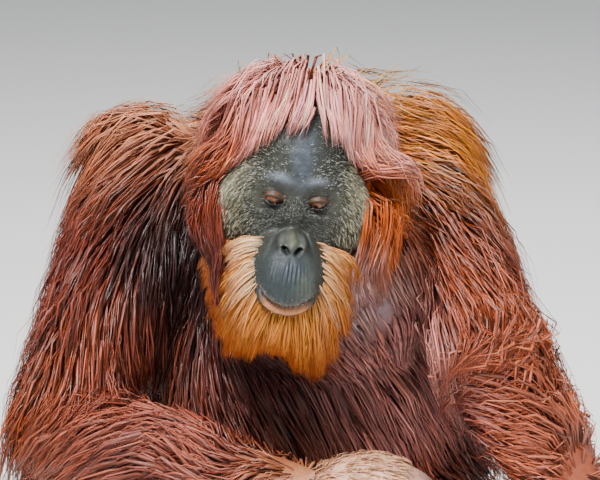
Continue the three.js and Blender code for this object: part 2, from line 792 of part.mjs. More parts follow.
/** The head's hair, out from the whorl, with a fringe that hangs parted over the forehead. */
function headHair() {
  const locks = [];
  const lay = (off, from, to, coat, sweep = 0) => {
    const [start, end] = [PARTING + off, PARTING + off + sweep];
    locks.push(
      headLock(
        polar(WHORL, AHEAD, from, start),
        polar(WHORL, AHEAD, to + 2 * random(), end),
        coat,
      ),
    );
  };
  for (const mirror of [-1, 1]) {
    [9, 27, 45, 63, 80].forEach((off, i) => {
      const edge = fringeEdge(off);
      const lift = 13 + (i % 2) * STACK;
      lay(mirror * off, edge - 28, edge + 3, { lift, width: 34 + 0.1 * off }, mirror * 6);
    });
    lay(mirror * 18, -22, 28, { lift: 21, width: 56 }, mirror * 8);
    lay(mirror * 58, -8, 42, { lift: 21, width: 62 }, mirror * 6);
    lay(mirror * 100, 4, 56, { lift: 22, width: 66 });
    lay(mirror * 138, 40, 90, { lift: 18, width: 72 });
  }
  lay(174, 6, 60, { lift: 22, width: 74 });
  // The long hair of its left side stands out over the shoulder
  for (const [off, to, lift] of [[48, 66, 30], [66, 76, 50], [86, 76, 48]])
    lay(off, 34, to, { lift, width: 58, thick: 8 }, 4);
  return locks;
}

/** Locks that fan out from the muzzle, `rounds` degrees from straight up on each side. */
function beardLocks(tiers) {
  const locks = [];
  for (const { rounds, from, to, lift, width } of tiers)
    rounds.forEach((round, i) => {
      for (const mirror of round === 180 ? [1] : [-1, 1]) {
        const start = polar(UPPER_MUZZLE, UPWARD, from, mirror * round);
        const end = polar(UPPER_MUZZLE, UPWARD, to + 2 * random(), mirror * (round + 5));
        locks.push(headLock(start, end, { lift: lift + (i % 2) * STACK, width, thick: 5 }));
      }
    });
  return locks;
}

const WHISKERS = [{ rounds: [66, 88, 108], from: 27, to: 58, lift: 9, width: 32 }];
const BEARD = [
  { rounds: [130, 155, 180], from: 32, to: 58, lift: 26, width: 36 },
  { rounds: [142, 167], from: 42, to: 76, lift: 28, width: 44 },
];

/** An ear: a small cup, open to the side. */
function earGeometries(mirror) {
  const centre = inHead(mirror * EAR.x, EAR.y, EAR.z);
  const turn = headTurn.clone().multiply(new THREE.Matrix4().makeRotationZ(mirror * -25 * DEGREE));
  const hollow = inHead(mirror * (EAR.x + 11), EAR.y - 7, EAR.z);
  const half = v(13, 17, 25);
  return {
    shell: ellipsoid(centre, half, turn, 8, 6),
    hollow: ellipsoid(hollow, v(9, 10, 17), turn, 6, 5),
    clear: ellipsoid(centre, half.clone().addScalar(CLEARANCE), turn, 8, 6),
  };
}

// The nodes, in the order in which each is cut clear of those before it

const colours = {
  fur: new THREE.MeshStandardMaterial({ color: 0x7a3517, roughness: 0.75, metalness: 0 }),
  beard: new THREE.MeshStandardMaterial({ color: 0xd07a26, roughness: 0.75, metalness: 0 }),
  face: new THREE.MeshStandardMaterial({ color: 0x4a4a42, roughness: 0.6, metalness: 0 }),
  skin: new THREE.MeshStandardMaterial({ color: 0x5d5358, roughness: 0.65, metalness: 0 }),
  eye: new THREE.MeshStandardMaterial({ color: 0x2a1208, roughness: 0.15, metalness: 0 }),
  nail: new THREE.MeshStandardMaterial({ color: 0x221c1a, roughness: 0.4, metalness: 0 }),
};

const model = new THREE.Group();
const placed = []; // what later nodes are cut clear of: { box, clear }

/** Whether two of manifold-3d's boxes meet. */
const meet = (a, b) => [0, 1, 2].every((i) => a.min[i] <= b.max[i] && b.min[i] <= a.max[i]);

/** Cuts a solid clear of the earlier nodes and the floor, and adds what is left as a mesh. */
function addNode(name, material, solid, clear) {
  let left = solid.trimByPlane([0, 0, 1], 0);
  for (const other of placed)
    if (meet(left.boundingBox(), other.box)) left = left.subtract(other.clear);
  const pieces = left.decompose().sort((a, b) => b.volume() - a.volume());
  const { numProp, vertProperties, triVerts } = pieces[0].getMesh();
  const points = new Float32Array((vertProperties.length / numProp) * 3);
  for (let i = 0; i < points.length / 3; i++)
    points.set(vertProperties.subarray(i * numProp, i * numProp + 3), 3 * i);
  const geometry = new THREE.BufferGeometry();
  geometry.setAttribute("position", new THREE.BufferAttribute(points, 3));
  geometry.setIndex(new THREE.BufferAttribute(triVerts, 1));
  geometry.computeVertexNormals();
  const mesh = new THREE.Mesh(geometry, material);
  mesh.name = name;
  model.add(mesh);
  placed.push({ box: clear.boundingBox(), clear });
}

/** Adds a node made of cores and locks, where each shape can be made at any growth. */
function addHaired(name, material, cores, locks = []) {
  const made = (grow) =>
    joined([...cores.map((core) => core(grow)), ...locks.map((lock) => lockGeometry(lock, grow))]);
  addNode(name, material, made(0), made(CLEARANCE));
}

const core = (tube) => (grow) => tube.geometry(grow);

for (const [name, { nails }] of Object.entries(extremities))
  nails.forEach(({ centre, size, turn }, i) => {
    const plate = (grow) => {
      const half = size.clone().addScalar(grow);
      return solidOf(ellipsoid(centre, half, turn, 6, 3));
    };
    addNode(`nail_${name}_${i + 1}`, colours.nail, plate(0), plate(CLEARANCE));
  });

for (const side of SIDES) {
  const mirror = side === "left" ? 1 : -1;
  const ball = (radius) => ellipsoid(eyePlace(mirror), v(radius, radius, radius), headTurn, 10, 7);
  addNode("eye_" + side, colours.eye, solidOf(ball(EYE_RADIUS)), solidOf(ball(EYE_RADIUS + CLEARANCE)));
}

for (const side of SIDES) {
  const { shell, hollow, clear } = earGeometries(side === "left" ? 1 : -1);
  const whole = solidOf(shell);
  addNode("ear_" + side, colours.skin, whole.subtract(solidOf(hollow)), solidOf(clear));
}

const skull = (grow) => {
  const lids = [-1, 1].map(lidGeometries);
  const openings = [...lids.map(({ opening }) => opening), ...NOSTRILS.map(nostrilGeometry)];
  return joined([headGeometry(grow), ...lids.map(({ ball }) => ball)]).subtract(joined(openings));
};
const clearOfBody = (lock) => isFree(lock, [neck, trunk]);
const headLocks = [...headHair(), ...beardLocks(WHISKERS)].filter(clearOfBody);
const jawLocks = beardLocks(BEARD).filter(clearOfBody);
const withLocks = (solid, locks, grow) =>
  solid.add(joined(locks.map((lock) => lockGeometry(lock, grow))));
const SLIP = 0.05; // the jaw's own faces lie this far inside the room left for them
const headAt = (grow, room) =>
  withLocks(skull(grow).subtract(jawSpace(room)), headLocks, grow);
const jawAt = (grow) => withLocks(skull(grow).intersect(jawSpace(0)), jawLocks, grow);
addNode("head", colours.face, headAt(0, GAP), headAt(CLEARANCE, SLIP));
addNode("jaw", colours.beard, jawAt(0), jawAt(CLEARANCE));

for (const [name, { shapes }] of Object.entries(extremities))
  addHaired(name, colours.skin, shapes.map(core));

const ARM_COAT = { rows: [-0.1, 0.36], count: 5, reach: 0.68, width: 96 };
const FOREARM_COAT = { rows: [0.9, 0.45], count: 5, reach: -0.58, width: 78 };
const THIGH_COAT = { rows: [0.6], count: 4, reach: 0.6, width: 116 };
const SHIN_COAT = { rows: [0.3], count: 4, reach: 0.62, width: 84 };
const NECK_COAT = { rows: [0.9], count: 2, reach: -0.9, arc: [0, 180], width: 110 };
const TRUNK_COAT = {
  rows: [1.05, 0.81, 0.57, 0.33],
  count: 7,
  reach: -0.34,
  width: 128,
  thick: 7,
};

for (const side of SIDES) {
  const [arm, fore, upperLeg, lowerLeg] = [upperArm[side], forearm[side], thigh[side], shin[side]];
  const body = [trunk, neck, pouch];
  const add = (name, tube, coat, others) =>
    addHaired(`${name}_${side}`, colours.fur, [core(tube)], coatOfTube(tube, coat, others));
  add("forearm", fore, FOREARM_COAT, [arm, ...body, upperLeg, lowerLeg]);
  add("upper_arm", arm, ARM_COAT, [fore, ...body]);
  add("shin", lowerLeg, SHIN_COAT, [upperLeg]);
  add("thigh", upperLeg, THIGH_COAT, [lowerLeg, ...body]);
}

const limbs = SIDES.flatMap((side) => [upperArm[side], forearm[side], thigh[side], shin[side]]);
addHaired("neck", colours.fur, [core(neck), core(pouch)], coatOfTube(neck, NECK_COAT, limbs));
addHaired("torso", colours.fur, [core(trunk)], coatOfTube(trunk, TRUNK_COAT, [...limbs, neck, pouch]));

export default model;
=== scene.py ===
"""A life-size, still museum model of a seated orangutan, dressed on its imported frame.

Shapes are worked out in millimetres in the frame's own axes (+Z up, the animal faces -Y, left
and right are the animal's own) and put into meshes in metres. One skin carries the head, trunk,
limbs, hands and feet. Over it lie tapered tufts of solid hair, each with a flat place of its own
on the map OFBake, at its root's place on the skin.
"""

from __future__ import annotations

import logging
import math
from dataclasses import dataclass, field, fields
from enum import Enum

import bpy
import numpy as np
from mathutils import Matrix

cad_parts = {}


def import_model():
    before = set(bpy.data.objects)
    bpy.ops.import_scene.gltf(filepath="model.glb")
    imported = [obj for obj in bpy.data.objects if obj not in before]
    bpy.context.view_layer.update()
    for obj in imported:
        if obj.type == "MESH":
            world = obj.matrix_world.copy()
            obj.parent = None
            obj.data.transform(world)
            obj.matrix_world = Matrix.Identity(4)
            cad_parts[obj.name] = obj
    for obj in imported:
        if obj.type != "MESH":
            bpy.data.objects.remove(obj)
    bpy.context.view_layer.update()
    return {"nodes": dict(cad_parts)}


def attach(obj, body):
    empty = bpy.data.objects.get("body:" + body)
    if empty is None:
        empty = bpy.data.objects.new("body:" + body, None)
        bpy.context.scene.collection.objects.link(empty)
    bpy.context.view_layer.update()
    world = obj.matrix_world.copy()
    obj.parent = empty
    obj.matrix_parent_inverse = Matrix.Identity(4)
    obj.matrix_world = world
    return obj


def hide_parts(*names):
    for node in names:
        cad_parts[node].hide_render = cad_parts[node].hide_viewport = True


Array = np.ndarray
Object = bpy.types.Object
LOG = logging.getLogger("orangutan")
MM = 0.001
TAU = 2.0 * math.pi
DENSITY = 1.0
RIGHT, LEFT = "right", "left"


# Small shared helpers


def smooth(low: float, high: float, x: Array) -> Array:
    """A ramp from 0 at `low` to 1 at `high`, level at both ends: 3t^2 - 2t^3."""
    t = np.clip((x - low) / (high - low), 0.0, 1.0)
    return t * t * (3.0 - 2.0 * t)


def unit(vectors: Array) -> Array:
    """The vectors, each scaled to length 1."""
    return vectors / np.maximum(np.linalg.norm(vectors, axis=-1, keepdims=True), 1e-9)


def dot(a: Array, b: Array) -> Array:
    """The dot products of two arrays of vectors, over their last axis."""
    return np.sum(a * b, axis=-1)


def vec(*values: float) -> Array:
    """A vector or a list of numbers as an array."""
    return np.array(values, float)


def along(values: Array, s: Array) -> Array:
    """A smooth curve (Catmull-Rom) through evenly spaced values.

    Args:
        values: the values, n of them, each a number or a vector.
        s: where to read the curve, from 0 at the first value to 1 at the last.

    Returns:
        The curve's values: 0.5 (2b + (c-a)f + (2a-5b+4c-d)f^2 + (3b-a-3c+d)f^3), where
        a, b, c, d are the four values round the place and f is the share of the way from b to c.
    """
    values = np.asarray(values, float)
    last = len(values) - 1
    x = np.clip(s, 0.0, 1.0) * last
    i = np.clip(np.floor(x).astype(int), 0, max(last - 1, 0))
    f = x - i
    if values.ndim > 1:
        f = f[..., None]
    a, b = values[np.maximum(i - 1, 0)], values[i]
    c, d = values[np.minimum(i + 1, last)], values[np.minimum(i + 2, last)]
    return 0.5 * (
        2 * b + (c - a) * f + (2 * a - 5 * b + 4 * c - d) * f**2 + (3 * b - a - 3 * c + d) * f**3
    )


def nearness(points: Array, place: Array, size: float, power: int = 2) -> Array:
    """How near points are to a place, from 1 at it: exp(-(distance / size)^power)."""
    return np.exp(-((np.linalg.norm(points - np.asarray(place, float), axis=-1) / size) ** power))


def turn(axis: Array, angle: float) -> Array:
    """The 3 x 3 matrix that turns by `angle` round an axis (Rodrigues' formula)."""
    x, y, z = axis / np.linalg.norm(axis)
    cross = np.array([[0, -z, y], [z, 0, -x], [-y, x, 0]])
    return np.eye(3) + math.sin(angle) * cross + (1 - math.cos(angle)) * cross @ cross


class Ripples:
    """A smooth, seeded field over space: a mean of sine waves in random directions."""

    def __init__(self, seed: int, size: float, waves: int = 10) -> None:
        """Draws the waves, whose lengths lie round `size` millimetres."""
        rng = np.random.default_rng(seed)
        self.waves = unit(rng.normal(size=(waves, 3))) * TAU / (size * rng.uniform(0.6, 1.7, (waves, 1)))
        self.phases = rng.uniform(0, TAU, waves)

    def __call__(self, points: Array) -> Array:
        """The field at points: about -1 to 1."""
        return np.sin(points @ self.waves.T + self.phases).mean(-1) * 1.9


def linear(colour: Array) -> Array:
    """Colours from the 0-255 scale of screens to linear light."""
    c = np.asarray(colour, float) / 255.0
    return np.where(c <= 0.04045, c / 12.92, ((c + 0.055) / 1.055) ** 2.4)


# Meshes


def new_object(name: str, mesh: bpy.types.Mesh, material: bpy.types.Material) -> Object:
    """An object for a mesh, in the scene, at the origin."""
    mesh.materials.append(material)
    obj = bpy.data.objects.new(name, mesh)
    bpy.context.scene.collection.objects.link(obj)
    return obj


def mesh_of(name: str, points: Array, faces: Array, corners: int = 4) -> bpy.types.Mesh:
    """A smooth mesh from points in millimetres and faces.

    Args:
        name: the mesh's name.
        points: the corners, one row each.
        faces: rows of `corners` indices. A row of quads that repeats its last corner
            is a triangle.

    Returns:
        The mesh, in metres.
    """
    faces = np.asarray(faces, np.int64).reshape(-1, corners)
    sizes = np.full(len(faces), corners)
    if corners == 4:
        sizes -= faces[:, 3] == faces[:, 2]
    keep = np.arange(corners)[None, :] < sizes[:, None]
    loops = faces[keep]
    mesh = bpy.data.meshes.new(name)
    mesh.vertices.add(len(points))
    mesh.vertices.foreach_set("co", np.asarray(points * MM, np.float32).ravel())
    mesh.loops.add(len(loops))
    mesh.loops.foreach_set("vertex_index", loops.astype(np.int32))
    mesh.polygons.add(len(faces))
    starts = np.concatenate([[0], np.cumsum(sizes)[:-1]])
    mesh.polygons.foreach_set("loop_start", starts.astype(np.int32))
    mesh.polygons.foreach_set("use_smooth", np.ones(len(faces), bool))
    mesh.update(calc_edges=True)
    mesh.validate()
    return mesh


def paint(mesh: bpy.types.Mesh, name: str, colours: Array) -> None:
    """Stores linear colours, one for each vertex, as the attribute `name`."""
    layer = mesh.color_attributes.new(name, "FLOAT_COLOR", "POINT")
    rgba = np.ones((len(mesh.vertices), 4), np.float32)
    rgba[:, :3] = np.clip(colours, 0.0, 1.0)
    layer.data.foreach_set("color", rgba.ravel())


def points_of(mesh: bpy.types.Mesh) -> Array:
    """A mesh's vertices, in millimetres."""
    co = np.zeros(len(mesh.vertices) * 3, np.float32)
    mesh.vertices.foreach_get("co", co)
    return co.reshape(-1, 3).astype(float) / MM


def ring_faces(rings: int, sides: int) -> Array:
    """The faces of rings of points, closed by a pole before the first and after the last.

    The points are the rings in order, then the first pole and the last pole.
    """
    r, i = np.meshgrid(np.arange(rings - 1), np.arange(sides), indexing="ij")
    j = (i + 1) % sides
    walls = np.stack([r * sides + i, r * sides + j, (r + 1) * sides + j, (r + 1) * sides + i], -1)
    i = np.arange(sides)
    j = (i + 1) % sides
    first, last = rings * sides, rings * sides + 1
    base = (rings - 1) * sides
    start = np.stack([j, i, np.full(sides, first), np.full(sides, first)], -1)
    end = np.stack([base + i, base + j, np.full(sides, last), np.full(sides, last)], -1)
    return np.concatenate([walls.reshape(-1, 4), start, end])


def facing_out(points: Array, faces: Array) -> Array:
    """The faces, turned round if they enclose a negative volume."""
    a, b, c, d = (points[faces[:, k]] for k in range(4))
    volume = dot(a, np.cross(b, c)).sum() + dot(a, np.cross(c, d)).sum()
    if volume > 0:
        return faces
    flipped = faces[:, [1, 0, 3, 2]]
    triangle = faces[:, 3] == faces[:, 2]
    flipped[triangle] = faces[triangle][:, [1, 0, 2, 2]]
    return flipped


# The trunk and the limbs


@dataclass(frozen=True)
class Tube:
    """A limb or trunk: elliptic rings of skin along a smooth spine, under a coat of hair."""

    path: Array
    wide: tuple[float, ...]
    deep: tuple[float, ...]
    front: Array
    coat: tuple[float, ...] = (0.0, 0.0)
    dome: tuple[float, float] = (0.7, 0.7)

    @property
    def length(self) -> float:
        """The length of the spine, point to point."""
        return float(np.linalg.norm(np.diff(self.path, axis=0), axis=1).sum())

    def at(self, s: Array) -> tuple[Array, ...]:
        """The spine's place, tangent, side and face directions and half-widths at s."""
        inside = np.clip(s, 0.0, 1.0)
        step = 0.01
        ahead = along(self.path, np.minimum(inside + step, 1.0))
        tangent = unit(ahead - along(self.path, np.maximum(inside - step, 0.0)))
        side = unit(np.cross(tangent, self.front))
        face = np.cross(side, tangent)
        return along(self.path, inside), tangent, side, face, along(self.wide, s), along(self.deep, s)

    def point(self, s: Array, angle: Array, height: Array) -> Array:
        """Points `height` above the skin: centre + side (a+h) cos + face (b+h) sin.

        Past an end of the spine, a point goes on round the end's dome.
        """
        inside = np.clip(s, 0.0, 1.0)
        centre, tangent, side, face, a, b = self.at(inside)
        dome = np.where(inside > 0.5, self.dome[1], self.dome[0])
        rise = 0.5 * (a + b) * dome + height
        tilt = np.clip((s - inside) * self.length / np.maximum(rise, 1.0), -1.5, 1.5)
        across = ((a + height) * np.cos(angle) * np.cos(tilt))[..., None] * side
        out = ((b + height) * np.sin(angle) * np.cos(tilt))[..., None] * face
        return centre + across + out + (rise * np.sin(tilt))[..., None] * tangent

    def depth(self, s: Array) -> Array:
        """How deep the coat is at s."""
        return along(self.coat, s)

    def grid(self, sides: int, steps: int, domes: int = 5) -> tuple[Array, Array]:
        """The closed skin: its points, and its faces."""
        tilts = np.linspace(0.0, 84.0, domes + 1)[1:] * math.pi / 180
        angles = np.arange(sides) * TAU / sides
        a, b = along(self.wide, vec(0, 1)), along(self.deep, vec(0, 1))
        rises = 0.5 * (a + b) * np.array(self.dome)
        s = np.concatenate(
            [
                -tilts[::-1] * rises[0] / self.length,
                np.linspace(0, 1, steps),
                1 + tilts * rises[1] / self.length,
            ]
        )
        rings = self.point(s[:, None] + 0 * angles, angles + 0 * s[:, None], np.zeros((len(s), sides)))
        ends = along(self.path, vec(0, 1))
        tangents = self.at(vec(0, 1))[1]
        poles = ends + tangents * (rises * vec(-1, 1))[:, None]
        points = np.concatenate([rings.reshape(-1, 3), poles])
        return points, facing_out(points, ring_faces(len(s), sides))

    def holds(self, points: Array, margin: float = 0.0) -> Array:
        """Whether points lie inside the skin grown by `margin`, by balls along the spine."""
        inside = np.zeros(points.shape[:-1], bool)
        for s in np.linspace(0.0, 1.0, 13):
            centre, tangent, side, face, a, b = (x[0] for x in self.at(vec(s)))
            q = points - centre
            x, y = q @ side / (a + margin), q @ face / (b + margin)
            z = q @ tangent / (0.5 * (a + b) + margin)
            inside |= x * x + y * y + z * z < 1.0
        return inside


JOINTS = {
    "shoulder": {RIGHT: vec(-184, 7, 636), LEFT: vec(138, 56, 630)},
    "elbow": {RIGHT: vec(-300, -200, 331), LEFT: vec(227, -238, 461)},
    "wrist": {RIGHT: vec(24, -350, 300), LEFT: vec(423, -348, 152)},
    "hip": {RIGHT: vec(-105, -30, 122), LEFT: vec(102, -30, 122)},
    "knee": {RIGHT: vec(-258, -262, 165), LEFT: vec(200, -318, 168)},
    "ankle": {RIGHT: vec(-92, -388, 62), LEFT: vec(98, -438, 62)},
}
FACING = vec(0.208, -0.978, 0)


TRUNK = (
    (0, 10, -20), (0, 4, 70), (2, -14, 180), (6, -32, 300),
    (8, -30, 410), (0, -6, 510), (-14, 26, 595), (-18, 28, 646),
)
NECK = ((-12, -20, 612), (-8, -95, 632), (-4, -160, 652))
POUCH = ((46, -150, 450), (42, -180, 508), (26, -176, 572))


def core() -> dict[str, Tube]:
    """The trunk from the seat to the shoulders, the neck, and the loose pouch of the throat."""
    return {
        "torso": Tube(
            path=np.array(TRUNK, float),
            wide=(148, 184, 206, 192, 160, 146, 126, 84),
            deep=(118, 152, 172, 172, 154, 136, 110, 72),
            front=FACING,
            coat=(10, 18, 24, 26, 26, 28, 30, 30),
            dome=(0.2, 0.5),
        ),
        "neck": Tube(
            np.array(NECK, float), (100, 88, 76), (100, 88, 76), vec(0, 0, 1), (30, 30, 30), (0.3, 0.3)
        ),
        "pouch": Tube(np.array(POUCH, float), (92, 122, 92), (60, 84, 66), FACING, (14, 12, 10)),
    }


@dataclass(frozen=True)
class Limb:
    """A limb's sizes: its joints, the spine's shares of the way with their lifts, and rings."""

    joints: tuple[str, str]
    spine: tuple[tuple[float, float, float], ...]  # share, forward, up
    wide: tuple[float, ...]
    deep: tuple[float, ...]
    coat: tuple[float, ...]
    front: tuple[float, float, float]
    dome: tuple[float, float]

    def tube(self, side: str) -> Tube:
        """The limb of one side."""
        top, end = (JOINTS[joint][side] for joint in self.joints)
        path = np.stack([top + (end - top) * share + vec(0, y, z) for share, y, z in self.spine])
        return Tube(path, self.wide, self.deep, np.array(self.front, float), self.coat, self.dome)


FOREARM_FRONT = {RIGHT: (0, -0.3, 1), LEFT: (0.3, -1, 0.3)}


def limbs(side: str) -> dict[str, Limb]:
    """The limbs of one side, by name."""
    return {
        "upper_arm": Limb(
            ("shoulder", "elbow"), ((0, 0, 0), (0.5, -4, 4), (1, 0, 0)),
            (58, 54, 48), (62, 56, 48), (30, 32, 28), (0, -1, 0.3), (0.85, 0.8),
        ),
        "forearm": Limb(
            ("elbow", "wrist"), ((0.02, 0, 0), (0.34, 0, 4), (0.7, 0, 2), (0.98, 0, 0)),
            (47, 45, 36, 30), (46, 43, 33, 24), (26, 26, 22, 8), FOREARM_FRONT[side], (0.7, 0.5),
        ),
        "thigh": Limb(
            ("hip", "knee"), ((0, 0, 0), (0.5, 0, 0), (1, 0, 0)),
            (90, 80, 62), (92, 80, 60), (18, 22, 20), (0, 0, 1), (0.6, 0.8),
        ),
        "shin": Limb(
            ("knee", "ankle"), ((0.1, 0, 0), (0.5, 0, -4), (1, 0, 0)),
            (52, 46, 34), (52, 46, 34), (18, 18, 10), (0, 0, 1), (0.6, 0.5),
        ),
    }


# Hands and feet


@dataclass(frozen=True)
class Digit:
    """A finger or toe: where it starts on the palm, and its joints' lengths and bends."""

    across: float
    lengths: tuple[float, ...]
    bends: tuple[float, ...]
    splay: float
    radius: float
    spin: float = 0.0
    start: float = 0.9


FINGER_SPREAD = (27, 9.5, -9, -27)
FINGERS = ((44, 30, 23), (50, 34, 24), (48, 33, 24), (40, 27, 22))
TOES = ((44, 30, 21), (48, 32, 22), (46, 31, 22), (40, 27, 20))


def four_digits(lengths: tuple, bends: tuple, radius: float, mirror: int, splay: float) -> list[Digit]:
    """Four digits side by side, each bent a little differently."""
    return [
        Digit(
            across=FINGER_SPREAD[i] * mirror,
            lengths=each,
            bends=tuple(bend + 4 * (i % 2) - 2 * i for bend in bends),
            splay=splay * mirror * (1.5 - i),
            radius=radius,
        )
        for i, each in enumerate(lengths)
    ]


@dataclass
class Extremity:
    """A hand or a foot: a flat palm or sole from `root` along `aim`, and bent digits."""

    name: str
    root: Array
    aim: Array
    back: Array
    length: float
    wide: tuple[float, ...]
    deep: tuple[float, ...]
    digits: list[Digit]
    arch: float = 0.0
    tubes: list[Tube] = field(default_factory=list)
    nails: list[tuple[Array, Array, Array, Array]] = field(default_factory=list)

    def __post_init__(self) -> None:
        """Lays out the palm and the digits."""
        self.aim = unit(self.aim)
        self.side = unit(np.cross(self.aim, self.back))
        self.dorsal = unit(np.cross(self.side, self.aim))
        path = np.stack([self.reach(share) for share in (0, 0.35, 0.7, 1)])
        palm = Tube(path, self.wide, self.deep, self.dorsal, (8.0, 5.0), (0.8, 0.35))
        self.tubes.append(palm)
        for digit in self.digits:
            self.add_digit(digit)

    def reach(self, share: float) -> Array:
        """The middle of the palm at a share of its length."""
        lift = self.arch * math.sin(math.pi * share)
        return self.root + self.aim * self.length * share + self.dorsal * lift

    def add_digit(self, digit: Digit) -> None:
        """Adds a digit's tube, and its nail's centre and directions."""
        splay = math.radians(digit.splay)
        ahead = self.aim * math.cos(splay) + self.side * math.sin(splay)
        up = turn(ahead, math.radians(digit.spin)) @ self.dorsal
        place = self.reach(digit.start) + self.side * digit.across
        path, way, out = [place], ahead, up
        for length, bend in zip(digit.lengths, np.radians(digit.bends)):
            way = ahead * math.cos(bend) - up * math.sin(bend)
            out = up * math.cos(bend) + ahead * math.sin(bend)
            place = place + way * length
            path.append(place)
        r = digit.radius
        wide = (r * 1.1, r, r * 0.92, r * 0.72)
        self.tubes.append(Tube(np.stack(path), wide, wide, out, dome=(0.5, 0.8)))
        nail = place + out * r * 0.74 - way
        self.nails.append((nail, unit(np.cross(way, out)), way, out))


PALM = {"wide": (28, 37, 42, 41), "deep": (22, 26, 24, 17)}
SOLE = {"length": 140, "wide": (34, 37, 43, 44), "deep": (32, 31, 27, 19)}


def thumb(mirror: int, bends: tuple, spin: float) -> Digit:
    """A thumb, low on one side of the palm."""
    return Digit(34 * mirror, (24, 21, 17), bends, 32 * mirror, 10, spin, start=0.3)


def great_toe(mirror: int) -> Digit:
    """A great toe, set apart from the others."""
    return Digit(34 * mirror, (22, 18, 15), (8, 14, 18), 48 * mirror, 11, start=0.34)


def extremities() -> list[Extremity]:
    """The hands and the feet, in the pose."""
    return [
        Extremity(
            name="hand_right",
            root=JOINTS["wrist"][RIGHT],
            aim=vec(0.97, -0.08, 0.2),
            back=vec(-0.2, -0.2, 0.96),
            length=100,
            arch=11,
            digits=four_digits(FINGERS, (42, 70, 88), 10.5, 1, 1.5) + [thumb(1, (24, 38, 46), 35)],
            **PALM,
        ),
        Extremity(
            name="hand_left",
            root=JOINTS["wrist"][LEFT] + vec(0, 0, -3),
            aim=vec(0.14, -0.05, -0.985),
            back=vec(0.35, -0.93, 0),
            length=106,
            digits=four_digits(FINGERS, (12, 94, 146), 11, -1, 1) + [thumb(-1, (14, 30, 42), -30)],
            **PALM,
        ),
        Extremity(
            name="foot_right",
            root=vec(-88, -376, 25),
            aim=vec(-0.24, -0.97, -0.08),
            back=vec(0, 0, 1),
            digits=four_digits(TOES, (3, 7, 9), 10.5, 1, 2) + [great_toe(-1)],
            **SOLE,
        ),
        Extremity(
            name="foot_left",
            root=vec(96, -426, 25),
            aim=vec(0.3, -0.954, -0.08),
            back=vec(0, 0, 1),
            digits=four_digits(TOES, (3, 7, 9), 10.5, -1, 2) + [great_toe(1)],
            **SOLE,
        ),
    ]


# The head, in its own frame: x to its left, y to the back, z up, origin between the eyes

EYE_POINT = vec(-4, -300, 655)
TILT_AXIS = vec(0, math.cos(math.radians(15)), -math.sin(math.radians(15)))
HEAD_TURN = (
    turn(TILT_AXIS, math.radians(8))
    @ turn(vec(1, 0, 0), math.radians(2))
    @ turn(vec(0, 0, 1), math.radians(4))
)
HEAD_CENTRE = vec(0, 60, -45)
HEAD_BLEND = 6.0
EYE_SPACING = 55.0
EYE_RADIUS = 11.5
EYE_DEPTH = 9.5
LID_THICKNESS = 2.6
LID_HALF = (11.0, 3.3)  # the opening between the lids
MUZZLE_AXIS = vec(0, -0.956, -0.294)
WHORL = vec(0, 0.342, 0.94)
PARTING = 6.0
MASSES = (
    (vec(0, 88, 34), vec(70, 90, 86)),
    (vec(0, 44, -26), vec(92, 50, 84)),
    (vec(0, 54, -74), vec(70, 62, 76)),
    (vec(0, 16, -92), vec(55, 88, 58)),
)


@dataclass(frozen=True)
class Swelling:
    """A bell-shaped rise (or hollow, where `up` is negative) round a point of the face."""

    at: tuple[float, float, float]
    size: tuple[float, float]
    up: float
    lean: float = 0.0


def both(x: float, y: float, z: float, size: tuple[float, float], up: float, lean: float = 0.0) -> list:
    """The same swelling on both sides of the face."""
    return [Swelling((x * side, y, z), size, up, lean * side) for side in (-1, 1)]


FORMS = [
    *both(24, -4, 25, (20, 9), 6.5),  # brows
    *both(27.5, 0, -3, (15, 11), -9.5),  # eye sockets
    Swelling((0, -8, -12), (9, 20), 4),  # bridge of the nose
    Swelling((0, -47, -42), (8.5, 8), 12.5),  # tip of the nose
    Swelling((0, -44, -32), (7, 6), 3.0),
    *both(15.5, -43, -44, (6.6, 6.2), 10.5, 0.35),  # wings of the nose
    *both(8, -47, -37, (2.2, 5.5), -3.0, 0.4),  # between tip and wings
    *both(24.5, -36, -44, (3.2, 9), -4.2, 0.3),  # beside the wings
    *both(12, -50, -58, (9, 3.0), -2.6, -0.2),  # under the nostrils
    Swelling((0, -74, -92), (36, 18), 3),  # upper lip
    Swelling((0, -4, 14), (5, 9), -2.2),  # furrow between the brows
    *both(30, -2, 13.5, (15, 1.8), -1.5, 0.12),  # crease over the upper lid
    *both(28, -2, -14, (15, 2.2), -1.8, -0.15),  # pouch under the eye
    *both(30, -2, -19, (16, 2.6), 1.6, -0.25),
    *both(34, -4, -26, (15, 2.0), -1.2, -0.4),
    *both(16, -30, -34, (4, 10), -2.0, 0.6),  # fold beside the nose
    *both(23, -38, -52, (5, 16), -1.6, 0.5),
    Swelling((0, -50, -60), (4, 9), -2.5),  # groove between the nostrils and the lip
    *both(62, 10, -20, (20, 30), 3.0),  # cheek pads
    Swelling((0, -4, 46), (26, 14), 2.0),  # forehead
]
NOSTRILS = both(8.4, -54, -51, (6.2, 3.3), -8.5, 0.7)
MOUTH = vec(0, -70, -117)
MOUTH_HALF = 42.0
MOUTH_RISE = 0.0065
EAR = vec(84, 66, -2)


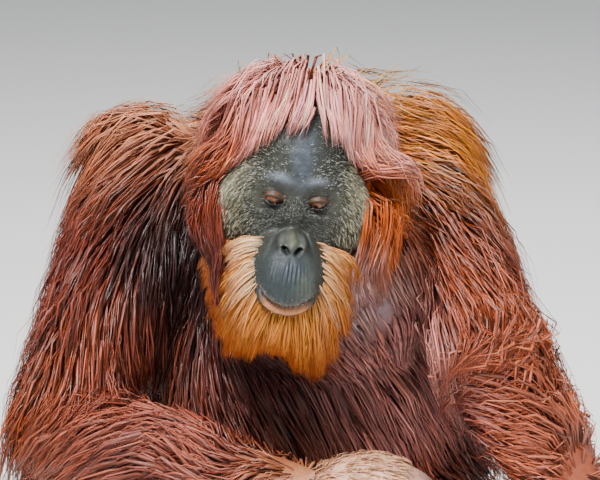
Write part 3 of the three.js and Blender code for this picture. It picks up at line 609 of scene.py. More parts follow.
class Head:
    """The head: a star-shaped surface seen from its centre, and the depth of its hair."""

    def to_world(self, local: Array) -> Array:
        """Points of the head's own frame, in the model's."""
        return local @ HEAD_TURN.T + EYE_POINT

    def to_local(self, points: Array) -> Array:
        """Points of the model, in the head's own frame."""
        return (points - EYE_POINT) @ HEAD_TURN

    def passing(self, d: Array, at: Array) -> tuple[Array, Array, Array]:
        """How far across and above a point directions pass, and whether they point its way."""
        ahead = at - HEAD_CENTRE
        distance = np.linalg.norm(ahead)
        ahead = ahead / distance
        cosine = d @ ahead
        across = unit(np.cross(vec(0, 0, 1), ahead))
        above = np.cross(ahead, across)
        offset = (d / np.maximum(cosine, 0.2)[..., None] - ahead) * distance
        return offset @ across, offset @ above, cosine > 0.2

    def leaning(self, d: Array, at: tuple, lean: float) -> tuple[Array, Array, Array]:
        """The same as `passing`, with the two directions turned by a lean."""
        x, z, near = self.passing(d, vec(*at))
        return x + lean * z, z - lean * x, near

    def swell(self, d: Array, form: Swelling) -> Array:
        """The rise of a swelling: up exp(-(x/w)^2 - (z/h)^2), turned by its lean."""
        x, z, near = self.leaning(d, form.at, form.lean)
        return near * form.up * np.exp(-((x / form.size[0]) ** 2) - (z / form.size[1]) ** 2)

    def sphere(self, d: Array, centre: Array, radius: float) -> Array:
        """The far crossing of rays from the head's centre with a ball, or 0 where they miss."""
        q = HEAD_CENTRE - centre
        b = d @ q
        under = b * b - (q @ q - radius * radius)
        return np.where(under > 0, -b + np.sqrt(np.maximum(under, 0)), 0.0)

    def masses(self, d: Array) -> Array:
        """The blended reach of the head's masses: B log(sum of exp(reach / B))."""
        total = np.zeros(d.shape[:-1])
        for centre, size in MASSES:
            q, e = (HEAD_CENTRE - centre) / size, d / size
            ee, qe, qq = dot(e, e), e @ q, q @ q
            total += np.exp((-qe + np.sqrt(np.maximum(qe * qe - ee * (qq - 1), 0))) / ee / HEAD_BLEND)
        return HEAD_BLEND * np.log(total)

    def mouth(self, d: Array) -> tuple[Array, Array, Array]:
        """Places along and above the line of the mouth, and how far they are within it."""
        x, z, near = self.passing(d, MOUTH)
        off = z - MOUTH_RISE * x * x
        return x, off, near * (1 - smooth(MOUTH_HALF - 8, MOUTH_HALF + 4, np.abs(x)))

    def eye_place(self, mirror: int, forward: float = 0.0) -> Array:
        """The centre of an eyeball, in the head's frame."""
        return vec(mirror * EYE_SPACING / 2, EYE_DEPTH - forward, -1)

    def radius(self, d: Array, fine: bool = False) -> Array:
        """The distance from the head's centre to the skin in directions.

        The masses, plus the swellings, plus the lips: a ridge above and below the line of the
        mouth and a groove on it. `fine` adds the nostrils, the lids and the wrinkles.
        """
        reach = self.masses(d)
        for form in FORMS:
            reach = reach + self.swell(d, form)
        x, off, within = self.mouth(d)
        lips = 6 * np.exp(-(((off + 9) / 6) ** 2)) - 6.5 * np.exp(-((off / 2.6) ** 2))
        reach = reach + within * (lips + 2.5 * np.exp(-(((off - 7) / 6) ** 2)))
        if not fine:
            return reach
        for form in NOSTRILS:
            x, z, near = self.leaning(d, form.at, form.lean)
            off = np.maximum(np.hypot(x / form.size[0], z / form.size[1]) - 0.25, 0)
            reach = reach + near * form.up * np.exp(-(off**4) * 1.4)
        reach = reach + self.wrinkles(d)
        for mirror in (-1, 1):
            reach = self.lids(d, reach, mirror)
        return reach

    def wrinkles(self, d: Array) -> Array:
        """Fine upright wrinkles of the upper lip, and level ones of the forehead."""
        x, z, near = self.passing(d, vec(0, -70, -88))
        lip = near * smooth(-26, -14, z) * (1 - smooth(16, 28, z)) * (1 - smooth(24, 38, np.abs(x)))
        upright = np.sin(x * 1.15 + 0.5 * np.sin(z * 0.21) + 0.35 * np.sin(x * 0.31)) ** 3
        fx, fz, fnear = self.passing(d, vec(0, -4, 40))
        brow = fnear * (1 - smooth(22, 46, np.abs(fx))) * smooth(-12, -2, fz) * (1 - smooth(16, 34, fz))
        level = np.sin(fz * 0.62 + 0.6 * np.sin(fx * 0.12))
        strong = np.exp(-((x / 17) ** 4)) * smooth(-2, 14, z)
        return (0.5 + 0.8 * strong) * lip * upright + 0.35 * brow * level

    def lids(self, d: Array, reach: Array, mirror: int) -> Array:
        """The lids, as a ball round the eye with a narrow opening low on it, laid over the face.

        The opening's middle line is z = -2.6 + 0.022 x^2, so it sags like a crescent, and its
        half-height is h (1 - (x / w)^2)^0.7.
        """
        centre = self.eye_place(mirror)
        ball = self.sphere(d, centre, EYE_RADIUS + LID_THICKNESS)
        x, z, near = self.passing(d, self.eye_place(mirror, 11))
        z = z + 0.13 * mirror * x
        blend = 2.4
        lid = near * smooth(21.0, 12.0, np.hypot(x, z * 1.15))
        with_lid = blend * np.logaddexp(reach / blend, ball / blend) - blend * 0.3
        reach = np.where(near & (ball > 0), reach + (with_lid - reach) * lid, reach)
        off = z + 2.6 - 0.022 * x * x
        fold = np.exp(-(((z - 7.5 + 0.018 * x * x) / 1.3) ** 2)) * smooth(15, 11, np.abs(x))
        reach = reach - near * 1.1 * fold
        rim = np.exp(-(((np.abs(off) - 4.4) / 1.2) ** 2)) * smooth(13, 9, np.abs(x))
        reach = reach + near * 0.8 * rim
        almond = np.abs(off) / (LID_HALF[1] * np.maximum(1 - (x / LID_HALF[0]) ** 2, 0.02) ** 0.7)
        open_ = near * smooth(1.15, 0.85, almond) * (np.abs(x) < LID_HALF[0])
        inner = self.sphere(d, centre, EYE_RADIUS - 2.5)
        return np.where(open_ > 0, reach + (np.maximum(inner, reach - 9) - reach) * open_, reach)

    def hairiness(self, d: Array) -> Array:
        """How hairy the head is: 0 on the bare face, 1 on the scalp."""
        face = vec(0, -0.916, 0.401)
        cosine = np.clip(d @ face, -1, 1)
        upness = unit(d - cosine[..., None] * face)[..., 2]
        line = np.radians(66 - 12 * upness)
        return smooth(0.0, 1.0, (np.arccos(cosine) - line) / math.radians(14))

    def beardness(self, d: Array) -> Array:
        """How bearded the head is: 0 on the lips, 1 on the chin and the cheeks."""
        angle = np.arccos(np.clip(d @ MUZZLE_AXIS, -1, 1))
        low, ahead = smooth(0.02, 0.2, -d[..., 2]), smooth(0.05, 0.4, -d[..., 1])
        return smooth(math.radians(16), math.radians(30), angle) * low * ahead

    def parting(self, d: Array) -> Array:
        """How far the hair lies open round an ear: 1 at the ear."""
        ear = unit(EAR - HEAD_CENTRE)
        cosine = np.abs(d[..., 0]) * ear[0] + d[..., 1] * ear[1] + d[..., 2] * ear[2]
        return np.exp(-((np.arccos(np.clip(cosine, -1, 1)) / math.radians(17)) ** 4))

    def depth(self, d: Array) -> Array:
        """How deep the hair or the beard is in directions, in millimetres."""
        beard = 18 + 38 * smooth(0.3, 0.75, -d[..., 2])
        level = smooth(-0.45, 0, d[..., 2]) * (1 - smooth(0.5, 0.85, d[..., 2]))
        aside = smooth(0.45, 0.85, np.abs(d[..., 0])) * level
        wing = aside * np.where(d[..., 0] > 0, 34, 10)
        thinned = 1 - 0.7 * smooth(0.2, 0.7, -d[..., 2])
        crown = 24 * np.exp(-((np.arccos(np.clip(d @ WHORL, -1, 1)) / 0.7) ** 2))
        hair = (36 + wing + crown) * self.hairiness(d) * thinned
        return np.maximum(hair, beard * self.beardness(d))

    def point(self, d: Array, height: Array, fine: bool = False) -> Array:
        """Points `height` above the skin in directions from the centre, in the model's frame."""
        reach = self.radius(d, fine) + height
        return self.to_world(HEAD_CENTRE + d * reach[..., None])

    def holds(self, points: Array, margin: float = 0.0) -> Array:
        """Whether points lie inside the head grown by `margin`."""
        offset = self.to_local(points) - HEAD_CENTRE
        return np.linalg.norm(offset, axis=-1) < self.radius(unit(offset)) + margin

    def grid(self) -> tuple[Array, Array]:
        """The closed skin of the head: rings round the nose, close together on the face."""
        sides = 300
        steps = ((96, 30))
        off = np.concatenate([np.linspace(0.8, 66, steps[0]), np.linspace(68.5, 176, steps[1])])
        round_ = np.arange(sides) * TAU / sides
        o, r = np.meshgrid(np.radians(off), round_, indexing="ij")
        d = np.stack([np.sin(o) * np.sin(r), -np.cos(o), np.sin(o) * np.cos(r)], -1)
        poles = self.point(vec(0, -1, 0, 0, 1, 0).reshape(2, 3), np.zeros(2), True)
        points = np.concatenate([self.point(d, np.zeros(o.shape), True).reshape(-1, 3), poles])
        return points, facing_out(points, ring_faces(len(off), sides))


def polar(axis: Array, towards: Array, angle: Array, round_: Array) -> Array:
    """Directions `angle` from an axis, at `round_` from `towards` to the left, in radians."""
    rest = unit(towards - axis * (axis @ towards))
    a, r = angle[..., None], round_[..., None]
    return np.cos(a) * axis + np.sin(a) * (np.cos(r) * rest + np.sin(r) * vec(1, 0, 0))


def polar_of(axis: Array, towards: Array, d: Array) -> tuple[Array, Array]:
    """The angle from an axis and the way round of directions: the inverse of `polar`."""
    rest = unit(towards - axis * (axis @ towards))
    return np.arccos(np.clip(d @ axis, -1, 1)), np.arctan2(d[..., 0], d @ rest)


# Colours


@dataclass(frozen=True)
class Mark:
    """A patch of the coat's colour, or of painted highlight or painted shade, round a place, on the
    0-255 scale of screens.
    """

    place: tuple[float, float, float]
    size: float
    colour: tuple[float, float, float]
    strength: float = 1.0


RUST = (136, 60, 34)
VIVID = 1.42
MARKS_OF_COLOUR_AND_PAINTED_LIGHT = (
    # painted highlight from above on the crown's pinkish hair
    Mark((0, -230, 800), 90, (246, 178, 172), 4.5),  # crown
    # painted golden highlight along the top edge of the hair
    Mark((60, -120, 830), 110, (246, 176, 130), 3.0),  # golden top edge
    Mark((110, 70, 760), 80, (246, 178, 116), 4.0),
    # painted highlight on the wing of hair over its left shoulder, and beside it
    Mark((125, -230, 715), 75, (250, 188, 186), 6.0),  # wing over its left shoulder
    Mark((150, -110, 700), 60, (240, 160, 136), 3.0),
    Mark((-106, -240, 655), 44, (140, 70, 38), 6.0),  # beside the cheeks
    Mark((102, -240, 640), 46, (226, 116, 40), 12.0),
    # painted shade in the gap between its right arm and the face
    Mark((-116, -215, 560), 52, (34, 13, 15), 9.0),
    # painted highlight on the top of the shoulders
    Mark((-165, 0, 690), 90, (240, 172, 146), 5.0),  # top of the shoulders
    Mark((-190, 60, 690), 70, (240, 160, 100), 3.0),
    Mark((-300, -150, 420), 120, (122, 62, 44), 1.6),
    Mark((-330, -180, 300), 90, (150, 92, 72), 1.4),
    Mark((-190, -90, 520), 75, (74, 32, 26), 3.0),  # deep shade beside the beard
    Mark((-130, -90, 545), 70, (24, 9, 14), 7.0),
    Mark((-100, -150, 500), 85, (30, 13, 18), 6.0),
    Mark((-148, -160, 530), 66, (20, 8, 12), 12.0),
    # painted golden-orange highlight on the top of its left upper arm
    Mark((230, -20, 610), 100, (244, 162, 104), 4.0),
    # painted shade in the left armpit, between the arm and the chest
    Mark((185, -110, 530), 85, (74, 32, 24), 6.0),
    Mark((235, -120, 540), 80, (104, 46, 30), 4.0),
    Mark((300, -180, 470), 100, (158, 92, 70), 2.2),
    Mark((215, -60, 280), 80, (54, 26, 24), 4.0),  # shade inside the left arm
    # painted shade over the chest's dark purple-brown, beside its right arm
    Mark((-20, -200, 390), 95, (38, 22, 30), 5.0),  # chest
    # painted pinkish highlight on the belly's purple-brown hair, on its left
    Mark((140, -215, 385), 76, (218, 160, 154), 8.0),  # belly, on its left
    Mark((75, -260, 515), 60, (176, 148, 144), 5.0),  # throat pouch
    Mark((-170, -290, 330), 120, (170, 110, 100), 2.2),  # right forearm
    Mark((0, -350, 330), 80, (220, 150, 116), 2.4),
    # the left forearm's own orange-brown, with a painted pinkish highlight
    Mark((320, -290, 330), 115, (208, 132, 112), 3.0),  # left forearm
    Mark((420, -350, 180), 80, (212, 134, 100), 1.8),
    Mark((90, -360, 320), 62, (255, 202, 170), 12.0),  # back of the right hand
    Mark((0, 150, 450), 200, (132, 60, 36), 1.2),  # back
)


def coat_colour_with_painted_light(points: Array) -> Array:
    """The colour of the coat at places of the body, with its painted highlights and painted shade: marks
    blended by distance, in linear light.

    Args:
        points: places, in millimetres.

    Returns:
        (rust + sum of w c) / (1 + sum of w), where w = strength exp(-(distance / size)^2),
        made more vivid by drawing it away from grey.
    """
    total = np.ones(points.shape[:-1])
    colour = np.broadcast_to(linear(RUST), points.shape).copy()
    for mark in MARKS_OF_COLOUR_AND_PAINTED_LIGHT:
        weight = mark.strength * nearness(points, mark.place, mark.size)
        total += weight
        colour += weight[..., None] * linear(mark.colour)
    colour = colour / total[..., None]
    grey = colour.mean(axis=-1, keepdims=True)
    return np.maximum(grey + VIVID * (colour - grey), 0.002)


def blend(base: Array, colour: tuple, weight: Array) -> Array:
    """Colours moved towards another, by weights from 0 to 1."""
    w = np.clip(weight, 0, 1)[..., None]
    return base * (1 - w) + linear(colour) * w


MOTTLE = Ripples(5, 9)
FLECKS = Ripples(6, 3.2, 14)


@dataclass(frozen=True)
class Patch:
    """A soft patch of the face's colour: exp(-(x / wide)^2 - (z / high)^2) round a place."""

    colour: tuple[float, float, float]
    at: tuple[float, float, float]
    size: tuple[float, float]
    plain: float
    mottled: float = 0.0
    lean: float = 0.0

    def laid(self, colour: Array, head: Head, d: Array, tone: Array, mirror: int = 1) -> Array:
        """Colours with the patch laid over them, on one side of the face."""
        at = (self.at[0] * mirror, *self.at[1:])
        x, z, near = head.leaning(d, at, self.lean * mirror)
        bell = near * np.exp(-((x / self.size[0]) ** 2) - (z / self.size[1]) ** 2)
        return blend(colour, self.colour, bell * (self.plain + self.mottled * tone))


FACE = (46, 48, 40)
# painted blue-grey sheen down the middle of the forehead
FOREHEAD_SHEEN = Patch((82, 92, 108), (2, -2, 54), (15, 30), 0.4, 0.35)
SIDE_COLOURS_AND_PAINTED_LIGHT = (
    # painted highlight on the brow ridge
    Patch((122, 130, 146), (24, -4, 28), (16, 4.2), 0.8),  # shine of the brow
    # painted shade in the eye socket
    Patch((32, 32, 24), (27, -2, -1), (20, 13), 0.75),  # round the eye
    Patch((72, 70, 48), (62, 10, -14), (24, 46), 0.2, 0.35),  # cheek
    Patch((234, 222, 180), (84, 24, -16), (8, 46), 0.85, lean=0.1),  # pale rims
    Patch((150, 140, 104), (66, 12, -4), (6, 34), 0.35, lean=-0.1),
    Patch((24, 27, 20), (24, -6, -22), (22, 13), 0.85),  # under the eye
)
MUZZLE_AND_PAINTED_LIGHT = (
    Patch((38, 50, 54), (0, -66, -84), (48, 38), 0.75, 0.2),
    # painted highlight on the muzzle's left side, where the light falls
    Patch((104, 112, 100), (22, -62, -84), (13, 22), 0.45),
    # painted shade under the nose, over the muzzle's own blue-grey
    Patch((36, 46, 60), (0, -60, -66), (22, 9), 0.7),
    # painted highlight on the tip of the nose
    Patch((104, 106, 88), (0, -47, -39), (8, 7), 0.85),
)
NOSE_SIDE_LIGHT_AND_SHADE = (
    # painted highlight on the wings of the nose
    Patch((88, 94, 88), (14, -44, -41), (6, 5), 0.7),
    # painted shade in the fold beside the wings of the nose
    Patch((30, 34, 36), (24, -38, -46), (4, 10), 0.6),
)
# The third colour is painted shade in the crease over the upper lid; the fourth is painted shade inside
# the nostrils.
LID, UNDER_LID, LID_FOLD_SHADE, NOSTRIL = (92, 58, 36), (15, 13, 11), (24, 18, 15), (8, 7, 7)
LIP, LIP_EDGE, MOUTH_LINE, SCALP = (204, 132, 86), (168, 150, 132), (24, 16, 15), (70, 42, 36)


def eye_colour(colour: Array, head: Head, d: Array, tone: Array, mirror: int) -> Array:
    """Colours with a brown upper lid, a dark rim under the eye and painted shade in the fold over it."""
    x, z, near = head.passing(d, head.eye_place(mirror, 11))
    z = z + 0.13 * mirror * x
    upper = near * np.exp(-((x / 12.0) ** 4) - ((z - 3.6) / 4.6) ** 4)
    under = near * np.exp(-((x / 14.0) ** 4) - ((z + 8.5) / 4.6) ** 4)
    fold = near * np.exp(-(((z - 9.0 + 0.018 * x * x) / 1.3) ** 2) - (x / 14) ** 4)
    colour = blend(colour, LID, upper * (0.5 + 0.4 * tone))
    # painted shade in the fold over the lid
    return blend(blend(colour, UNDER_LID, under * 0.9), LID_FOLD_SHADE, fold * 0.7)


def face_colour(head: Head, d: Array) -> Array:
    """The colour of the head's skin and its down in directions, in linear light, with painted
    highlights, sheen and shade on the forehead, brows, eyes, nose and muzzle.
    """
    local = HEAD_CENTRE + d * 120.0
    tone = 0.5 + 0.5 * MOTTLE(local)
    colour = np.broadcast_to(linear(FACE), d.shape).copy()
    colour = FOREHEAD_SHEEN.laid(colour, head, d, tone)
    for mirror in (-1, 1):
        for patch in SIDE_COLOURS_AND_PAINTED_LIGHT:
            colour = patch.laid(colour, head, d, tone, mirror)
        colour = eye_colour(colour, head, d, tone, mirror)
    for patch in MUZZLE_AND_PAINTED_LIGHT:
        colour = patch.laid(colour, head, d, tone)
    for mirror in (-1, 1):
        for patch in NOSE_SIDE_LIGHT_AND_SHADE:
            colour = patch.laid(colour, head, d, tone, mirror)
    # painted shade inside the nostrils
    for form in NOSTRILS:
        x, z, near = head.leaning(d, form.at, form.lean)
        colour = blend(colour, NOSTRIL, near * np.exp(-((x / 6.2) ** 4) - (z / 3.9) ** 4))
    x, off, within = head.mouth(d)
    lip = within * np.exp(-(((off + 8) / 6.5) ** 4))
    colour = blend(colour, LIP, lip * smooth(38, 20, np.abs(x)) * 0.9)
    colour = blend(colour, LIP_EDGE, within * np.exp(-(((off - 4.5) / 3.5) ** 2)) * 0.5)
    colour = blend(colour, MOUTH_LINE, within * np.exp(-((off / 2.0) ** 2)) * 0.95)
    colour = colour * (0.84 + 0.2 * FLECKS(local) + 0.1 * tone)[..., None]
    hair = np.clip(head.hairiness(d), 0, 1)[..., None]
    return colour * (1 - hair) + linear(SCALP) * hair


# Hair


@dataclass
class Tufts:
    """Many tufts of hair: rows of points from root to tip, with all that dresses them."""

    paths: Array
    out: Array
    width: Array
    thick: Array
    colours: Array
    places: Array

    def kept(self, keep: Array) -> Tufts:
        """Only the tufts where `keep` holds."""
        return Tufts(*(getattr(self, item.name)[keep] for item in fields(self)))

    def faces(self) -> Array:
        """The faces of every tuft: a cap at the root, the rings' walls, and the tip's sides."""
        rings = self.paths.shape[1] - 1
        corners, last = rings * 3 + 1, 3 * (rings - 1)
        sides = [(i, (i + 1) % 3) for i in range(3)]
        table = [(0, 1, 2, 2)]
        for base in range(0, last, 3):
            table += [(base + i, base + 3 + i, base + 3 + j, base + j) for i, j in sides]
        table += [(last + j, last + i, corners - 1, corners - 1) for i, j in sides]
        every = np.array(table)[None] + (np.arange(len(self.paths)) * corners)[:, None, None]
        return every.reshape(-1, 4)

    def mesh(self, name: str) -> bpy.types.Mesh:
        """One mesh of the tufts, each a closed three-sided spindle.

        Ring k holds path +- across w_k and path + out t_k, where the widths w_k fall from the
        root to the tip, so that each tuft tapers, and the last point closes it. A point under
        the floor is raised on to it. On the map OFBake a tuft is a patch 0.003 across at its
        root's place.
        """
        count, rows, _ = self.paths.shape
        rings = rows - 1
        share = np.linspace(0, 1, rows)[:-1]
        taper = np.interp(share, [0, 0.3, 0.65, 1], [0.7, 1.0, 0.72, 0.16])
        ahead = unit(np.gradient(self.paths, axis=1))[:, :-1]
        across = unit(np.cross(ahead, self.out[:, :-1]))
        up = np.cross(across, ahead)
        half = (0.5 * self.width[:, None] * taper)[..., None]
        ridge = (self.thick[:, None] * taper)[..., None]
        base = self.paths[:, :-1]
        ring = np.stack([base + across * half, base + up * ridge, base - across * half], 2)
        points = np.concatenate([ring.reshape(count, rings * 3, 3), self.paths[:, -1:]], 1)
        points[..., 2] = np.maximum(points[..., 2], 0.4)
        corners = rings * 3 + 1
        mesh = mesh_of(name, points.reshape(-1, 3), self.faces())
        shade = np.repeat(self.colours[:, :-1], 3, axis=1)
        paint(mesh, "Coat", np.concatenate([shade, self.colours[:, -1:]], 1).reshape(-1, 3))
        patch = np.zeros((corners, 2))
        patch[:-1, 0] = np.tile([0.0, 0.5, 1.0], rings)
        patch[:-1, 1] = np.repeat(share, 3)
        patch[-1] = (0.5, 1.0)
        strand = np.zeros((count, corners, 3), np.float32)
        strand[..., 0] = patch[:, 0] * self.width[:, None]
        strand[..., 1] = patch[:, 1]
        strand[..., 2] = np.random.default_rng(count).uniform(0, 50, count)[:, None]
        layer = mesh.attributes.new("Strand", "FLOAT_VECTOR", "POINT")
        layer.data.foreach_set("vector", strand.ravel())
        spots = (self.places[:, None, :] + 0.003 * (patch - 0.5)).reshape(-1, 2)
        loops = np.zeros(len(mesh.loops), np.int32)
        mesh.loops.foreach_get("vertex_index", loops)
        layer = mesh.uv_layers.new(name="OFBake")
        layer.data.foreach_set("uv", spots[loops].astype(np.float32).ravel())
        return mesh


BANDS = Ripples(12, 90)
SWIRL = Ripples(13, 200)
WARP = [Ripples(14 + k, 45) for k in range(3)]


def shaded(base: Array, share: Array, rng: np.random.Generator, lively: float, clump: Array) -> Array:
    """Colours along tufts, darkened at the root by painted shade deep in the coat, and warmer and paler
    towards the tip.

    Args:
        base: the tufts' colours, one row each, in linear light.
        share: how far along a tuft its points are, from 0 to 1.
        rng: the source of chance.
        lively: how far single tufts depart from the colour of their place.
        clump: a number from -1 to 1 for the clump each tuft belongs to.
    """
    count = len(base)
    light = np.exp(rng.normal(0, lively, count) + 0.18 * clump)
    warm = rng.normal(0, 0.10, count)[:, None] * vec(0.5, 0.0, -1.0)
    colour = base * light[:, None] * np.exp(warm)
    # painted shade: each tuft is darkest at its root, where the coat shades it
    ramp = np.interp(share, [0, 0.25, 0.7, 1], [0.58, 0.88, 1.05, 1.2])
    return colour[:, None, :] * ramp[None, :, None]


def banded(paths: Array, row: int, strength: float = 0.16) -> Array:
    """The tufts' colours: the coat's at one row of their points, in soft bands by their roots."""
    return coat_colour_with_painted_light(paths[:, row]) * (1 + strength * BANDS(paths[:, 0]))[:, None]


def widths_of(rng: np.random.Generator, count: int, broad: float, fine: float) -> Array:
    """The tufts' widths: every second tuft is broad."""
    return np.where(np.arange(count) % 2 == 0, broad, fine) * rng.uniform(0.6, 1.3, count)


def luck_of(keys: Array, seed: int) -> Array:
    """Four numbers from -1 to 1 for each key, the same for the same key."""
    return np.random.default_rng(seed).uniform(-1, 1, (4096, 4))[keys % 4096]


def gathered(paths: Array, keys: Array, pull: Array) -> Array:
    """Draws the tufts of each clump towards the clump's mean tuft.

    Args:
        paths: the tufts' points.
        keys: the clump of each tuft.
        pull: how far each row of points is drawn in, from 0 to 1.
    """
    _, index, counts = np.unique(keys, return_inverse=True, return_counts=True)
    flat = paths.reshape(len(paths), -1)
    sums = np.stack([np.bincount(index, flat[:, k]) for k in range(flat.shape[1])], 1)
    mean = (sums / counts[:, None])[index].reshape(paths.shape)
    return paths + (mean - paths) * pull


def cells(points: Array, size: float) -> Array:
    """The clump that each place belongs to: cells of space with winding walls."""
    bent = points + 0.5 * size * np.stack([ripple(points) for ripple in WARP], -1)
    cell = np.floor(bent @ turn(vec(1, 2, 3), 0.9).T / size).astype(np.int64)
    return cell[:, 0] * 73856093 ^ cell[:, 1] * 19349663 ^ cell[:, 2] * 83492791


@dataclass(frozen=True)
class Stroke:
    """A stroke of the comb: hair near a place is drawn a certain way."""

    place: tuple[float, float, float]
    size: float
    way: tuple[float, float, float]
    strength: float = 1.5


STROKES = (
    Stroke((-40, -200, 420), 130, (0.75, -0.1, -0.6), 1.6),  # chest, down to its left
    Stroke((60, -230, 330), 120, (0.6, 0.0, -0.8), 1.4),
    Stroke((-165, 0, 700), 130, (-0.9, -0.1, -0.3), 2.0),  # over the shoulders
    Stroke((140, 20, 700), 120, (0.95, -0.05, -0.25), 2.0),
    Stroke((-130, -330, 330), 60, (0.2, -0.1, 0.9), 1.2),  # curls above the forearm
    Stroke((380, -330, 280), 80, (0.6, -0.2, -0.7), 1.2),
    Stroke((-104, -235, 650), 62, (0.1, -0.45, -1.0), 4.0),  # down past the cheeks
    Stroke((98, -235, 650), 62, (-0.1, -0.45, -1.0), 4.0),
)
NAPE = vec(-8, -50, 700)
BARE_THROAT = vec(84, -255, 522)
FARTHEST = -374.0  # stray tufts past this x are drawn three quarters of the way back to it
LOWEST_HAIR = 3.5  # keeps the tufts' middles off the floor


@dataclass(frozen=True)
class Loft:
    """A place where the coat stands deeper."""

    place: tuple[float, float, float]
    size: float
    extra: float


LOFTS = (
    Loft((-102, 45, 745), 84, 56),  # shoulders, beside the neck
    Loft((84, 62, 752), 92, 86),
    Loft((50, 10, 790), 70, 30),
    Loft((205, -60, 265), 110, 58),  # flanks, behind the arms
    Loft((235, -120, 245), 70, 30),
    Loft((-175, -60, 440), 100, 26),
    Loft((-325, -180, 290), 100, 5),  # elbow
    Loft((-20, -90, 560), 80, 14),  # throat
)


@dataclass
class Sheath:
    """The spine of a tube as a row of ellipsoids, for finding how far points lie from it."""

    tube: Tube
    sign: float
    samples: int = 15

    def __post_init__(self) -> None:
        """Samples the tube, and sets the ellipsoids' half-sizes."""
        s = np.linspace(0, 1, self.samples)
        self.centre, self.tangent, self.side, self.face, a, b = self.tube.at(s)
        spacing = self.tube.length / (self.samples - 1)
        self.half = np.stack([a, b, np.maximum(0.3 * (a + b), 0.8 * spacing)], -1)
        self.coat = self.tube.depth(s)

    def near(self, points: Array) -> tuple[Array, Array, Array, Array]:
        """The distance, outward direction, lie and coat depth at points.

        In the frame of an ellipsoid, with k the length of the place divided by the
        half-sizes, the distance is taken as |q| (1 - 1/k), and the nearest one counts.
        """
        q = points[:, None, :] - self.centre[None]
        axes = np.stack([self.side, self.face, self.tangent], 1)
        local = np.einsum("nki,kji->nkj", q, axes) / self.half[None]
        k = np.maximum(np.linalg.norm(local, axis=2), 0.05)
        apart = np.linalg.norm(q, axis=2) * (1 - 1 / k)
        best = np.argmin(apart, axis=1)
        rows = np.arange(len(points))
        slope = local[rows, best] / self.half[best]
        normal = unit(np.einsum("nj,nji->ni", slope, axes[best]))
        return apart[rows, best], normal, self.tangent[best] * self.sign, self.coat[best]


@dataclass
class Flesh:
    """The whole body under its coat: distance to the skin, and the lie and depth of the hair."""

    head: Head
    sheaths: dict[str, Sheath]
    blend: float = 14.0

    def distances(self, points: Array) -> dict[str, Array]:
        """The distance from points to each part."""
        apart = {name: sheath.near(points)[0] for name, sheath in self.sheaths.items()}
        offset = self.head.to_local(points) - HEAD_CENTRE
        apart["head"] = np.linalg.norm(offset, axis=-1) - self.head.masses(unit(offset))
        return apart

    def field(self, points: Array) -> tuple[Array, Array, Array, Array]:
        """The blended distance, outward direction, lie and coat depth at points.

        Parts count by exp(-distance / blend), so that one runs smoothly into the next.
        """
        found = [sheath.near(points) for sheath in self.sheaths.values()]
        offset = self.head.to_local(points) - HEAD_CENTRE
        d = unit(offset)
        away = unit((d @ WHORL)[:, None] * d - WHORL) @ HEAD_TURN.T
        apart = np.linalg.norm(offset, axis=-1) - self.head.masses(d)
        found.append((apart, d @ HEAD_TURN.T, away, self.head.depth(d)))
        apart = np.stack([f[0] for f in found])
        least = apart.min(axis=0)
        weight = np.exp(-(apart - least) / self.blend)
        total = weight.sum(axis=0)
        weight /= total
        normal = unit(sum(w[:, None] * f[1] for w, f in zip(weight, found)))
        lie = sum(w[:, None] * f[2] for w, f in zip(weight, found))
        coat = sum(w * f[3] for w, f in zip(weight, found))
        for loft in LOFTS:
            coat = coat + loft.extra * nearness(points, loft.place, loft.size)
        return least - self.blend * np.log(total) * 0.6, normal, lie, coat

    def way(self, points: Array, normal: Array, lie: Array, hang: Array, contact: Array) -> Array:
        """The direction of the hair: its lie, strokes of the comb and its own weight."""
        away = unit(points - NAPE) * (1.6 * nearness(points, NAPE, 230))[:, None]
        total = lie + away + hang[:, None] * vec(0, 0, -1.0)
        for stroke in STROKES:
            weight = stroke.strength * nearness(points, stroke.place, stroke.size)
            total = total + weight[:, None] * np.array(stroke.way)
        swirl = 0.2 * SWIRL(points)
        total = total - normal * (dot(total, normal) * contact)[:, None]
        total = unit(total)
        return unit(total + np.cross(normal, total) * swirl[:, None])

    def combed(
        self, roots: Array, length: Array, layer: Array, rows: int, hang: Array, curl: Array
    ) -> tuple[Array, Array]:
        """Lays tufts over the body, step by step along the hair's direction.

        Args:
            roots: places on the skin.
            length: the tufts' lengths.
            layer: the share of the coat's depth that each tuft reaches.
            rows: how many points a tuft has.
            hang: how strongly weight pulls each tuft down.
            curl: how far each tuft sways to the side.

        Returns:
            The tufts' points, and the directions outward from the body at them.
        """
        step = length / (rows - 1)
        apart, normal, lie, coat = self.field(roots)
        paths, outs = [roots - normal * 2.0], [normal]
        place = roots
        for k in range(1, rows):
            t = k / (rows - 1)
            contact = smooth(14.0, 2.0, apart - coat)
            way = self.way(place, normal, lie, hang * t, contact)
            side = np.cross(normal, way)
            sway = curl * math.cos(3.4 * t)
            place = place + way * step[:, None] + side * (sway * step / 30)[:, None]
            apart, normal, lie, coat = self.field(place)
            aim = coat * layer * (1 - (1 - t) ** 3.2)
            place = place + normal * np.clip(aim - apart, -4.0, 0.8 * step + 6)[:, None]
            paths.append(place)
            outs.append(normal)
        return np.stack(paths, 1), np.stack(outs, 1)


